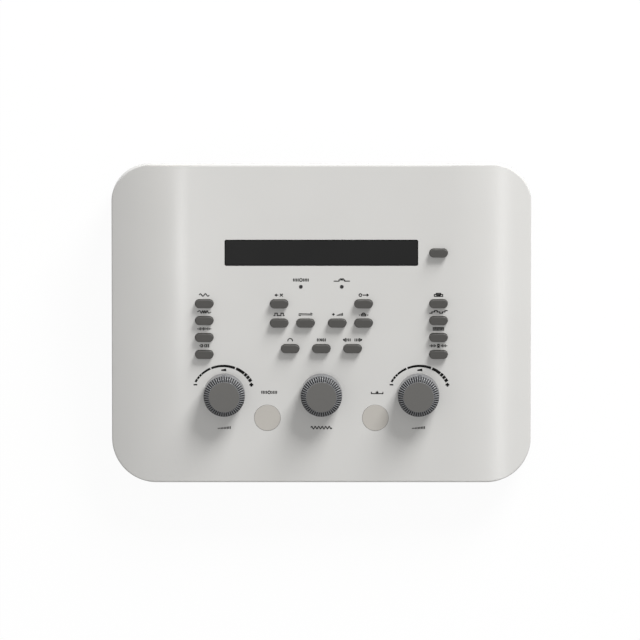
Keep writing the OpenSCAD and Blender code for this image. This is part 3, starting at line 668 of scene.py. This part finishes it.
# A rib covers this share of its pitch, has a fuller back the nearer this power is to zero,
# and reaches this far below the bottom of the groove.
rib_share, rib_power, rib_root = 0.55, 0.3, 0.3
skirt_in_r, hub_r, bore_r = 14.0, 5.5, 3.02
foot_z, hub_z, ceiling_z, bore_z = 0.8, 3.0, 11.5, 13.3


def shoulder(tilt, sink=0.0):
    """Radius and height in mm on the knob's shoulder where it leans over by tilt degrees."""
    a, start = math.radians(tilt), math.radians(first_tilt)
    r = knob_top_r + shoulder_r * (math.sin(a) - math.sin(start)) - sink * math.sin(a)
    return r, knob_high - 0.1 + shoulder_r * (math.cos(a) - math.cos(start)) - sink * math.cos(a)


knob_top_r = knob_r - 0.1 - shoulder_r * (math.sin(math.radians(last_tilt))
                                          - math.sin(math.radians(first_tilt)))
rim_z = shoulder(last_tilt)[1]
# Radius and height, from the crown's middle over the outside to the bore.
knob_profile = [(0, knob_high), (knob_top_r - 0.25, knob_high),
                (knob_top_r - 0.1, knob_high - 0.04), (knob_top_r - 0.02, knob_high - 0.15)]
knob_profile += [shoulder(tilt, groove) for tilt in range(first_tilt + 5, last_tilt - 4, 6)]
knob_profile += [
    (knob_r - 0.8, rim_z - 0.8), (knob_r - 0.2, rim_z - 0.9), (knob_r, rim_z - 1.15),
    (knob_r, foot_z + 0.5), (knob_r - 0.08, foot_z + 0.2), (knob_r - 0.3, foot_z + 0.04),
    (knob_r - 0.6, foot_z), (skirt_in_r, foot_z), (skirt_in_r, ceiling_z), (hub_r, ceiling_z),
    (hub_r, hub_z), (bore_r, hub_z), (bore_r, bore_z), (0, bore_z)
]


def turned(profile, sides):
    """A closed mesh from a profile of radius and height turned about Z."""
    verts, faces, rows = [], [], []
    for r, z in profile:
        if r == 0:
            rows.append([len(verts)])
            verts.append((0, 0, z * MM))
            continue
        rows.append(list(range(len(verts), len(verts) + sides)))
        for i in range(sides):
            a = 2 * math.pi * i / sides
            verts.append((r * MM * math.cos(a), r * MM * math.sin(a), z * MM))
    for upper, lower in zip(rows, rows[1:]):
        for i in range(sides):
            j = (i + 1) % sides
            if len(upper) == 1:
                faces.append((upper[0], lower[i], lower[j]))
            elif len(lower) == 1:
                faces.append((upper[i], lower[0], upper[j]))
            else:
                faces.append((upper[i], lower[i], lower[j], upper[j]))
    return verts, faces


def knob_rib():
    """One round-backed rib along the shoulder, on the side of +X."""
    across, along = 9, 9
    verts = []
    for k in range(along):
        tilt = first_tilt + (last_tilt - first_tilt) * k / (along - 1)
        for i in range(across):
            a = math.pi * i / (across - 1)
            r, z = shoulder(tilt, (groove + rib_root) * (1 - math.sin(a) ** rib_power))
            half = math.pi * r / rib_count * rib_share
            verts.append((r * MM, half * math.cos(a) * MM, z * MM))
    faces = [tuple(range(across)), tuple(range(len(verts) - 1, len(verts) - across - 1, -1))]
    for k in range(along - 1):
        for i in range(across):
            j = (i + 1) % across
            faces.append((k * across + i, k * across + across + i, k * across + across + j,
                          k * across + j))
    return verts, faces


# Grey ABS between the ribs: dull, and darker for the shade that it lies in.
groove_abs = moulded("grey_groove_abs", "404040", 0.6, 0.25 * MM, 0.005 * MM, shade=0.02,
                     ior=1.2)
# Grey ABS: the flat top is spark-eroded and matt; the ribs and the skirt are polished to a soft sheen.
# Their colour is painted light and shade by tilt: cooler and paler on the shoulder and ribs, darker down the steep
# skirt.
knob_abs = moulded("grey_knob_abs", "5B5A58", 0.42, 0.25 * MM, 0.005 * MM, shade=0.02)
tree = knob_abs.node_tree
shader = next(item for item in tree.nodes if item.type == "BSDF_PRINCIPLED")
# The masks below paint the knob's colour by the tilt of each face. This is painted light and shade, not a real
# change of plastic.
facing = add(tree, "ShaderNodeNewGeometry").outputs["True Normal"]
level = add(tree, "ShaderNodeVectorMath", {"operation": "DOT_PRODUCT"}, in0=facing,
            in1=tuple(square_up)).outputs["Value"]
matt = add(tree, "ShaderNodeMapRange", Value=level, From_Min=0.95, From_Max=0.99).outputs[0]
steep = add(tree, "ShaderNodeMapRange", Value=level, From_Min=0.1, From_Max=0.4).outputs[0]
tilt_painted_tone = add(tree, "ShaderNodeMix", {"data_type": "RGBA"}, in0=steep, in6=linear("606165"),
               in7=linear("7B7C7F")).outputs[2]
tone = add(tree, "ShaderNodeMix", {"data_type": "RGBA"}, in0=matt, in6=tilt_painted_tone,
           in7=shader.inputs["Base Color"].links[0].from_socket)
polish = 0.18
gloss = add(tree, "ShaderNodeMix", {"data_type": "FLOAT"}, in0=matt, in2=polish,
            in3=shader.inputs["Roughness"].links[0].from_socket)
tree.links.new(tone.outputs[2], shader.inputs["Base Color"])
tree.links.new(gloss.outputs[0], shader.inputs["Roughness"])

rib = mesh_object("rib", *knob_rib())
face_outwards(rib)
ring_tree = bpy.data.node_groups.new("rib_ring", "GeometryNodeTree")
face = ring_tree.interface
for label, kind in (("Ribs", "NodeSocketInt"), ("Rib", "NodeSocketObject"),
                    ("Finish", "NodeSocketMaterial")):
    face.new_socket(label, in_out="INPUT", socket_type=kind)
face.new_socket("Ring", in_out="OUTPUT", socket_type="NodeSocketGeometry")
given = add(ring_tree, "NodeGroupInput").outputs
points = add(ring_tree, "GeometryNodePoints", Count=given["Ribs"])
share = add(ring_tree, "ShaderNodeMath", {"operation": "DIVIDE"}, in0=2 * math.pi,
            in1=given["Ribs"])
number = add(ring_tree, "GeometryNodeInputIndex")
angle = add(ring_tree, "ShaderNodeMath", {"operation": "MULTIPLY"}, in0=number.outputs[0],
            in1=share.outputs[0])
euler = add(ring_tree, "ShaderNodeCombineXYZ", Z=angle.outputs[0])
spin = add(ring_tree, "FunctionNodeEulerToRotation", Euler=euler.outputs[0])
shape = add(ring_tree, "GeometryNodeObjectInfo", Object=given["Rib"])
copies = add(ring_tree, "GeometryNodeInstanceOnPoints", Points=points.outputs[0],
             Instance=shape.outputs["Geometry"], Rotation=spin.outputs[0])
real = add(ring_tree, "GeometryNodeRealizeInstances", Geometry=copies.outputs[0])
dressed = add(ring_tree, "GeometryNodeSetMaterial", Geometry=real.outputs[0],
              Material=given["Finish"])
add(ring_tree, "NodeGroupOutput", Ring=dressed.outputs[0])

ring = mesh_object("rib_ring", [], [])
grow = ring.modifiers.new("ribs", "NODES")
grow.node_group = ring_tree
inputs = {item.name: item.identifier for item in face.items_tree if item.in_out == "INPUT"}
grow[inputs["Ribs"]] = rib_count
grow[inputs["Rib"]] = rib
grow[inputs["Finish"]] = knob_abs
settle(ring)
bpy.data.objects.remove(rib)

# The grooves' own faces lie between the crown and the skirt's upper edge.
stand_up = Vector((0, 0, 1)).rotation_difference(square_up).to_matrix().to_4x4()
for name in ("left_level", "frequency", "right_level"):
    knob = mesh_object(name + "_grip", *turned(knob_profile, knob_sides))
    face_outwards(knob)
    knob.data.materials.append(knob_abs)
    knob.data.materials.append(groove_abs)
    work = bmesh.new()
    work.from_mesh(knob.data)
    for part in work.faces:
        middle = part.calc_center_median() / MM
        part.material_index = int(middle.xy.length > knob_top_r and middle.z > rim_z - 0.95)
    plain = len(work.faces)
    work.from_mesh(ring.data)
    work.faces.ensure_lookup_table()
    for part in work.faces[plain:]:
        part.material_index = 0
    work.to_mesh(knob.data)
    work.free()
    x, s, _ = down_slope_of(joints[name + "_turn"]["pos_m"])
    knob.data.transform(Matrix.Translation(on_top(x, s)) @ stand_up)
    soften(knob, 28)
    finish_piece(knob, None, name + "_knob", name + "_control")
bpy.data.objects.remove(ring)

# ---------------------------------------------------------------------------
# Print on the top.
# Small plain marks in black screen ink, for all keys but one, the buttons, lamps
# and knobs, and a level scale over each outer knob that grows from thin to thick.
# ---------------------------------------------------------------------------

ink_verts, ink_faces = [], []


def ink(path, width, place, last_width=None):
    """Adds a printed line along points, in mm, that place() puts on a surface.

    Lines that cross lie at slightly different heights, and all of them reach under the face.
    """
    points = [Vector(p) for p in path]
    lift, root = (0.012 + 0.004 * (len(ink_faces) % 4)) * MM, -0.03 * MM
    first, size = len(ink_verts), len(points)
    for i, p in enumerate(points):
        before = points[i - 1] if i else p
        after = points[i + 1] if i < size - 1 else p
        one = (p - before).normalized() if (p - before).length else (after - p).normalized()
        two = (after - p).normalized() if (after - p).length else one
        along = (one + two).normalized() if (one + two).length > 0.1 else one
        normal = Vector((-along.y, along.x))
        here = width + ((last_width or width) - width) * i / max(size - 1, 1)
        reach = here / 2 / max(normal.dot(Vector((-one.y, one.x))), 0.5)
        for side in (1, -1):
            spot = p + normal * reach * side
            ink_verts.append(place(spot.x * MM, spot.y * MM, lift))
            ink_verts.append(place(spot.x * MM, spot.y * MM, root))
    for i in range(size - 1):
        a, b = first + 4 * i, first + 4 * (i + 1)
        ink_faces.extend([(a, b, b + 2, a + 2), (a + 1, a + 3, b + 3, b + 1),
                          (a, a + 1, b + 1, b), (a + 2, b + 2, b + 3, a + 3)])
    a, b = first, first + 4 * (size - 1)
    ink_faces.extend([(a, a + 2, a + 3, a + 1), (b, b + 1, b + 3, b + 2)])


def arc(x, y, r, start, stop, steps=16):
    """Points of an arc between two angles in degrees."""
    turn = [math.radians(start + (stop - start) * i / steps) for i in range(steps + 1)]
    return [(x + r * math.cos(a), y + r * math.sin(a)) for a in turn]


def sine(width, height, periods, squeeze=0.0):
    """Points of a sine wave; squeeze makes its middle faster than its ends."""
    steps = 40
    line = []
    for i in range(steps + 1):
        t = i / steps
        phase = t - squeeze * math.sin(2 * math.pi * t) / (2 * math.pi)
        line.append((width * (t - 0.5), height / 2 * math.sin(2 * math.pi * periods * phase)))
    return line


def bars(heights, pitch):
    """Upright strokes of given heights about a middle line."""
    start = -(len(heights) - 1) * pitch / 2
    return [[(start + i * pitch, -h / 2), (start + i * pitch, h / 2)]
            for i, h in enumerate(heights)]


def box_line(x, y, w, h):
    """The outline of a rectangle, drawn once round."""
    return [(x - w / 2, y - h / 2), (x + w / 2, y - h / 2), (x + w / 2, y + h / 2),
            (x - w / 2, y + h / 2), (x - w / 2, y - h / 2)]


def sound(first, count):
    """Sound waves: arcs about one point that spread to both sides, all of about one height."""
    pitch, half_height, widest = 1.15, 1.15, 50
    waves = []
    for i in range(count):
        r = first + i * pitch
        half = min(math.degrees(math.asin(min(half_height / r, 1))), widest)
        waves += [arc(0, 0, r, -half, half, 8), arc(0, 0, r, 180 - half, 180 + half, 8)]
    return waves


def mirrored(shapes):
    """Shapes together with their mirror images."""
    return shapes + [[(-x, y) for x, y in shape] for shape in shapes]


press = [arc(0, 0, 1.05, 0, 360, 20)] + sound(2.2, 4)
# Each mark is a list of lines, in mm about its middle. The power key has none.
marks = {
    "tone_key": [sine(7.6, 1.9, 2)],
    "warble_key": [sine(10.4, 1.9, 4, squeeze=0.7)],
    "speech_key": bars([0.8, 1.7, 2.3, 1.3, 2.4, 1.9, 1.0, 2.1, 1.5, 0.8], 1.1),
    "mask_key": [[(x, y), (x + 1.0, y)] for y in (-0.85, 0, 0.85)
                 for x in (-3.7 + (0.8 if y else 0), -2.0, -0.4 + (0.5 if y else 0), 1.3, 2.7)],
    "print_key": [box_line(0, -0.35, 6.4, 1.4), box_line(0, 0.85, 3.4, 0.9),
                  [(-1.8, -0.45), (1.8, -0.45)]],
    "step_key": [[(-7, -1), (-5, -1), (-5, 0), (-3, 0), (-3, 1), (-1, 1), (-1, 0), (1, 0), (1, -1),
                  (3, -1), (3, 0), (5, 0), (5, 1), (7, 1)]],
    "options_key": [[(-4.4, y), (4.4, y)] for y in (-0.95, 0, 0.95)]
                   + [[(x, y - 0.45), (x, y + 0.45)]
                      for x, y in ((-2.2, 0.95), (2, 0), (-0.4, -0.95))],
    "talkover_key": [box_line(0, 0.25, 1.1, 1.7), [(0, -0.6), (0, -1.2)], [(-1, -1.2), (1, -1.2)]]
                    + mirrored([[(2.2 + 1.05 * i, -h / 2), (2.2 + 1.05 * i, h / 2)]
                                for i, h in enumerate((1.2, 2.2, 1.5, 2.1, 0.8))]),
    "left_ear_key": [[(0.6, -1), (2.8, 1)], [(0.6, 1), (2.8, -1)], [(-0.6, 0), (-3, 0)],
                     [(-1.9, 0.9), (-3, 0), (-1.9, -0.9)]],
    "right_ear_key": [arc(-2.4, 0, 1.05, 0, 360, 20), [(-0.5, 0), (3.6, 0)],
                      [(2.4, 0.9), (3.6, 0), (2.4, -0.9)]],
    "pulse_key": [[(-4.2, -0.9), (-3.2, -0.9), (-3.2, 0.9), (-1.4, 0.9), (-1.4, -0.9), (1.4, -0.9),
                   (1.4, 0.9), (3.2, 0.9), (3.2, -0.9), (4.2, -0.9)]],
    "reverse_key": [[(-5.2, 0.45), (5.2, 0.45), (3.8, 1.1)],
                    [(5.2, -0.45), (-5.2, -0.45), (-3.8, -1.1)]],
    "boost_key": [[(-4, 0), (-1.8, 0)], [(-2.9, -1), (-2.9, 1)]]
                 + [[(i, -1.1), (i, -0.3 + 0.35 * i)] for i in range(5)],
    "lock_key": [box_line(0, -0.55, 3.4, 1.1), arc(0, 0, 1.05, 0, 180),
                 [(-3.6, -0.55), (-2.6, -0.55)], [(2.6, -0.55), (3.6, -0.55)]],
    "air_key": [arc(0, -0.7, 1.8, 15, 165), [(-1.75, -0.1), (-1.75, -1.1)],
                [(1.75, -0.1), (1.75, -1.1)]],
    "bone_key": [box_line(0, 0, 1.3, 1.3)] + sound(1.9, 2),
    "field_key": mirrored([[(-6.9, -0.4), (-6.2, -0.4), (-5.3, -1), (-5.3, 1), (-6.2, 0.4),
                            (-6.9, 0.4), (-6.9, -0.4)]]
                          + [arc(-6.2, 0, r, -half, half, 8) for r, half in ((2, 33), (3.2, 20),
                                                                           (4.4, 14.5))]),
    "present_button": press,
    "store_button": [[(0, 1.1), (0, -0.6)], [(-1, 0.3), (0, -0.7), (1, 0.3)],
                     [(-4.4, 0.4), (-4.4, -1), (4.4, -1), (4.4, 0.4)]],
    "lamps": [press, [[(-6.2, -0.9), (-2.2, -0.9), (-2.2, 0), (2.2, 0), (2.2, -0.9), (6.2, -0.9)],
                      [(0, 0), (0, 0.9)], [(-1.6, 0.9), (1.6, 0.9)]]],
    "outer_knob": [[(-4.6 + 1.15 * i, -1), (-4.6 + 1.15 * i, -0.2 + 0.16 * i)] for i in range(9)],
    "middle_knob": [sine(16, 1.9, 6)]
}
line_w = 0.74


def put(shapes, x, s):
    """Prints a mark at a place in mm on the top."""
    for shape in shapes:
        ink([(along + x, up + s) for along, up in shape], line_w, on_top)


key_mark_up, button_mark_up, button_mark_aside = 6.6, 19.8, 1.4
for name in key_names:
    if name in marks:
        x, s = (v / MM for v in crown_of(name, key_top))
        put(marks[name], x, s + key_mark_up)
for name in ("present_button", "store_button"):
    x, s = (v / MM for v in crown_of(name, 0.0))
    put(marks[name], x + button_mark_aside, s + button_mark_up)
lamp_x, lamp_mark_s = 15.6, 33.4
for side, mark in zip((-1, 1), marks["lamps"]):
    put(mark, side * lamp_x, lamp_mark_s)

knob_mark_drop = 26.4
# The level scale's middle lies a little below and outside the knob's. Its wedge and its
# signs for less and more are placed from that middle.
scale_r, scale_drop, scale_aside = 24.35, 2.9, 0.7
wedge_line, wedge_w, wedge_last_w = [(-1.6, 21.0), (2.2, 21.3)], 0.9, 2.1
sign_up, less_out, less_half, less_w = 9.8, 21.3, 1.4, 1.1
more_out, more_half, more_w = 21.4, 1.5, 1.3
# Start and end angle in degrees and line widths in mm, from left to right.
scale = [
    (150.8, 144.8, 1.5, 1.6), (143.8, 138.8, 1.6, 1.6), (137.8, 133.2, 1.6, 1.6),
    (132.4, 114.0, 1.45, 1.65), (112.0, 68.6, 1.65, 2.0), (66.4, 49.3, 2.2, 2.3),
    (48.3, 43.3, 2.6, 2.6), (42.1, 37.0, 2.6, 2.6), (35.8, 30.2, 2.6, 2.6)
]
for name in ("left_level", "frequency", "right_level"):
    x, s, _ = (v / MM for v in down_slope_of(joints[name + "_turn"]["pos_m"]))
    if name == "frequency":
        put(marks["middle_knob"], x, s - knob_mark_drop)
        continue
    put(marks["outer_knob"], x, s - knob_mark_drop)
    x, s = x + math.copysign(scale_aside, x), s - scale_drop
    ink([(x + along, s + up) for along, up in wedge_line], wedge_w, on_top,
        last_width=wedge_last_w)
    for start, stop, width, last_width in scale:
        ink(arc(x, s, scale_r, start, stop), width, on_top, last_width=last_width)
    low, less, more = s + sign_up, x - less_out, x + more_out
    ink([(less - less_half, low), (less + less_half, low)], less_w, on_top)
    ink([(more - more_half, low), (more + more_half, low)], more_w, on_top)
    ink([(more, low - more_half), (more, low + more_half)], more_w, on_top)

# Screen ink: black, flat and dull, a hair above the cover's face.
screen_ink = moulded("screen_ink", "0C0C0C", 0.7, 0.3 * MM, 0.002 * MM, shade=0.06, ior=1.2)
print_on_top = mesh_object("print_on_top", ink_verts, ink_faces, screen_ink, smooth=False)
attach(print_on_top, "root")

# ---------------------------------------------------------------------------
# Socket plate.
# A flat steel plate that the sockets reach through, powder coated dark grey and
# held between the covers. White printed marks tell the sockets apart.
# ---------------------------------------------------------------------------

# Powder coat: an even satin grey with a fine orange peel.
powder_coat = moulded("grey_powder_coat", "47484B", 0.45, 0.9 * MM, 0.05 * MM, shade=0.04)
coat(nodes["socket_plate"], powder_coat)

plate_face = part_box("socket_plate")[1][1]
mounts = {mount["name"]: mount["pos_m"] for mount in frame["record"]["mounts"]}
socket_mark_z = mounts["left_phone_socket"][2] / MM + 9.4


def on_plate(x, z, up=0.0):
    """A point on the plate's outer face, or up outside it."""
    return Vector((x, plate_face + up, z))


ink_verts, ink_faces = [], []
socket_marks = {
    "left_phone_socket": marks["air_key"], "right_phone_socket": marks["air_key"],
    "bone_socket": marks["bone_key"], "insert_socket": marks["field_key"],
    "response_socket": marks["store_button"], "talkover_socket": marks["talkover_key"],
    "monitor_socket": marks["field_key"], "aux_socket": [sine(4, 2.2, 1)],
    "usb_socket": [box_line(0, 0, 1.6, 2), [(0, -1), (0, -1.8)]],
    "dc_inlet": [arc(0, 0, 1.4, -150, 150), [(-0.4, 0), (0.4, 0)]]
}
for name, shapes in socket_marks.items():
    x = mounts[name][0] / MM
    for shape in shapes:
        ink([(x - along, up + socket_mark_z) for along, up in shape], line_w, on_plate)
# Screen ink: off-white, flat and dull.
white_ink = moulded("white_screen_ink", "D8D8D6", 0.6, 0.3 * MM, 0.002 * MM, shade=0.04)
print_on_plate = mesh_object("print_on_plate", ink_verts, ink_faces, white_ink, smooth=False)
face_outwards(print_on_plate)
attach(print_on_plate, "root")

# ---------------------------------------------------------------------------
# Sockets.
# Five large and three small plug sockets with nickel-plated nuts, a square data
# socket and the low-voltage inlet. All of them stand on the main board.
# ---------------------------------------------------------------------------


def metal(name, code, roughness, scratch, depth):
    """Plated or bare metal: roughness and tone drift a little, with fine scratches."""
    spread = 0.06
    material, tree = empty_material(name)
    place = add(tree, "ShaderNodeTexCoord").outputs["Object"]
    drift = add(tree, "ShaderNodeTexNoise", Vector=place, Scale=1 / (9 * MM), Detail=3.0)
    lines = add(tree, "ShaderNodeTexNoise", Vector=place, Scale=1 / scratch, Detail=2.0)
    base = linear(code)
    tone = add(tree, "ShaderNodeMix", {"data_type": "RGBA"}, in0=drift.outputs["Fac"],
               in6=[c * 0.92 for c in base[:3]] + [1], in7=base)
    gloss = add(tree, "ShaderNodeMapRange", Value=drift.outputs["Fac"],
                To_Min=roughness - spread, To_Max=roughness + spread)
    bump = add(tree, "ShaderNodeBump", Strength=0.4, Distance=depth, Height=lines.outputs["Fac"])
    shader = add(tree, "ShaderNodeBsdfPrincipled", Base_Color=tone.outputs[2], Metallic=1.0,
                 Roughness=gloss.outputs[0], Normal=bump.outputs[0])
    add(tree, "ShaderNodeOutputMaterial", Surface=shader.outputs[0])
    return material


# Glass-filled nylon: black and half dull, with a coarse grain.
socket_nylon = moulded("black_nylon", "1B1B1D", 0.42, 0.5 * MM, 0.02 * MM, shade=0.1)
# Bright nickel over brass: a warm white shine, hardly scratched.
nickel = metal("bright_nickel", "C9C6BE", 0.2, 0.8 * MM, 0.004 * MM)

for node, name, width in (("phone_sockets", "phone_socket_bodies", 0.3 * MM),
                          ("mini_sockets", "mini_socket_bodies", 0.25 * MM),
                          ("dc_inlet", "dc_inlet_body", 0.25 * MM)):
    finish_piece(eased(node, name, width, crisp, 2), socket_nylon, node, "root")
for node, name, width in (("phone_socket_nuts", "large_nuts", 0.3 * MM),
                          ("mini_socket_nuts", "small_nuts", 0.25 * MM),
                          ("usb_socket", "usb_shell", 0.2 * MM)):
    finish_piece(eased(node, name, width, crisp, 2), nickel, node, "root")

# ---------------------------------------------------------------------------
# Inside the case.
# The boards, the display module and their small parts, closed in behind the
# covers. Each keeps its CAD shape and gets the finish that it really has.
# ---------------------------------------------------------------------------


def solder_mask(name, code, copper):
    """A circuit board: green varnish, raised and paler over its copper tracks."""
    material, tree = empty_material(name)
    place = add(tree, "ShaderNodeTexCoord").outputs["Object"]
    cells = add(tree, "ShaderNodeTexVoronoi", {"distance": "MANHATTAN", "feature": "F2"},
                Vector=place, Scale=1 / (5 * MM))
    tracks = add(tree, "ShaderNodeTexWave", {"bands_direction": "DIAGONAL"}, Vector=place,
                 Scale=1 / (14 * MM), Distortion=0.0)
    mixed = add(tree, "ShaderNodeMath", {"operation": "MULTIPLY"}, in0=cells.outputs["Distance"],
                in1=tracks.outputs["Fac"])
    step = add(tree, "ShaderNodeMapRange", Value=mixed.outputs[0], From_Min=0.30, From_Max=0.34)
    tone = add(tree, "ShaderNodeMix", {"data_type": "RGBA"}, in0=step.outputs[0],
               in6=linear(code), in7=linear(copper))
    bump = add(tree, "ShaderNodeBump", Strength=0.5, Distance=0.035 * MM, Height=step.outputs[0])
    gloss = add(tree, "ShaderNodeMapRange", Value=step.outputs[0], To_Min=0.22, To_Max=0.3)
    shader = add(tree, "ShaderNodeBsdfPrincipled", Base_Color=tone.outputs[2],
                 Roughness=gloss.outputs[0], Normal=bump.outputs[0], IOR=1.5)
    add(tree, "ShaderNodeOutputMaterial", Surface=shader.outputs[0])
    return material


# Epoxy board with green varnish over copper: glossy, paler over the tracks.
board_green = solder_mask("green_solder_mask", "1D5A38", "2E7A4C")
# Zinc plate on steel: bluish and a little cloudy.
zinc = metal("zinc_plate", "AEB2B6", 0.34, 0.5 * MM, 0.006 * MM)
# Ground steel: brighter and smoother, with fine turning marks.
ground_steel = metal("ground_steel", "BDBEBF", 0.22, 0.15 * MM, 0.003 * MM)
# Black oxide on thin sheet steel: almost black and half dull.
black_oxide = metal("black_oxide", "2B2B2C", 0.4, 0.6 * MM, 0.005 * MM)
# Liquid crystal cell: greenish grey glass, smooth.
cell_glass = moulded("cell_glass", "4B534A", 0.08, 4 * MM, 0.002 * MM, shade=0.03)
# Opal acrylic of the backlight and the nylon spacers: milky and soft.
opal = moulded("opal_acrylic", "E4E4DF", 0.4, 0.8 * MM, 0.004 * MM, shade=0.02)
# Black epoxy of chips, headers and switches: dull, with a fine grain.
black_epoxy = moulded("black_epoxy", "232325", 0.55, 0.2 * MM, 0.01 * MM, shade=0.1)
# Pale thermoplastic relay cases: ivory with a satin sheen.
relay_case = moulded("relay_case_plastic", "DDDAD0", 0.4, 0.3 * MM, 0.006 * MM)
# Shrink sleeve round the capacitors: dark blue and glossy.
blue_sleeve = moulded("blue_shrink_sleeve", "24365A", 0.25, 0.5 * MM, 0.006 * MM, shade=0.06)
inside = {
    board_green: ["display_board", "key_board", "main_board"],
    zinc: ["display_screws", "key_board_screws", "main_board_screws", "encoder_housings",
           "case_screws"],
    ground_steel: ["left_level_shaft", "frequency_shaft", "right_level_shaft"],
    black_oxide: ["display_frame"],
    cell_glass: ["display_glass"],
    opal: ["display_backlight", "display_spacers", "lamp_leds"],
    black_epoxy: ["processor_chips", "ribbon_headers", "key_switches"],
    relay_case: ["output_relays"],
    blue_sleeve: ["filter_capacitors"]
}
for material, names in inside.items():
    for name in names:
        coat(nodes[name], material)

# ---------------------------------------------------------------------------
# Ribbon cable.
# A flat grey cable of twenty-six moulded wires between the two boards, bent
# once inside the case. Its wires show as fine lengthwise ridges.
# ---------------------------------------------------------------------------

# Flexible PVC: pale grey ridges 1.27 mm apart, with painted shade darkening the grooves.
wire_pitch = 1.27 * MM
ribbon_pvc, tree = empty_material("ribbon_pvc")
place = add(tree, "ShaderNodeTexCoord").outputs["Object"]
ridges = add(tree, "ShaderNodeTexWave", {"bands_direction": "X", "wave_profile": "SIN"},
             Vector=place, Scale=2 * math.pi / (20 * wire_pitch), Distortion=0.0)
tone = add(tree, "ShaderNodeMix", {"data_type": "RGBA"}, in0=ridges.outputs["Fac"],
           in6=linear("77797E"), in7=linear("A3A5AA"))
gloss = add(tree, "ShaderNodeMapRange", Value=ridges.outputs["Fac"], To_Min=0.5, To_Max=0.4)
bump = add(tree, "ShaderNodeBump", Strength=0.8, Distance=0.25 * MM, Height=ridges.outputs["Fac"])
shader = add(tree, "ShaderNodeBsdfPrincipled", Base_Color=tone.outputs[2],
             Roughness=gloss.outputs[0], Normal=bump.outputs[0], IOR=1.5)
add(tree, "ShaderNodeOutputMaterial", Surface=shader.outputs[0])
coat(nodes["board_ribbon"], ribbon_pvc)
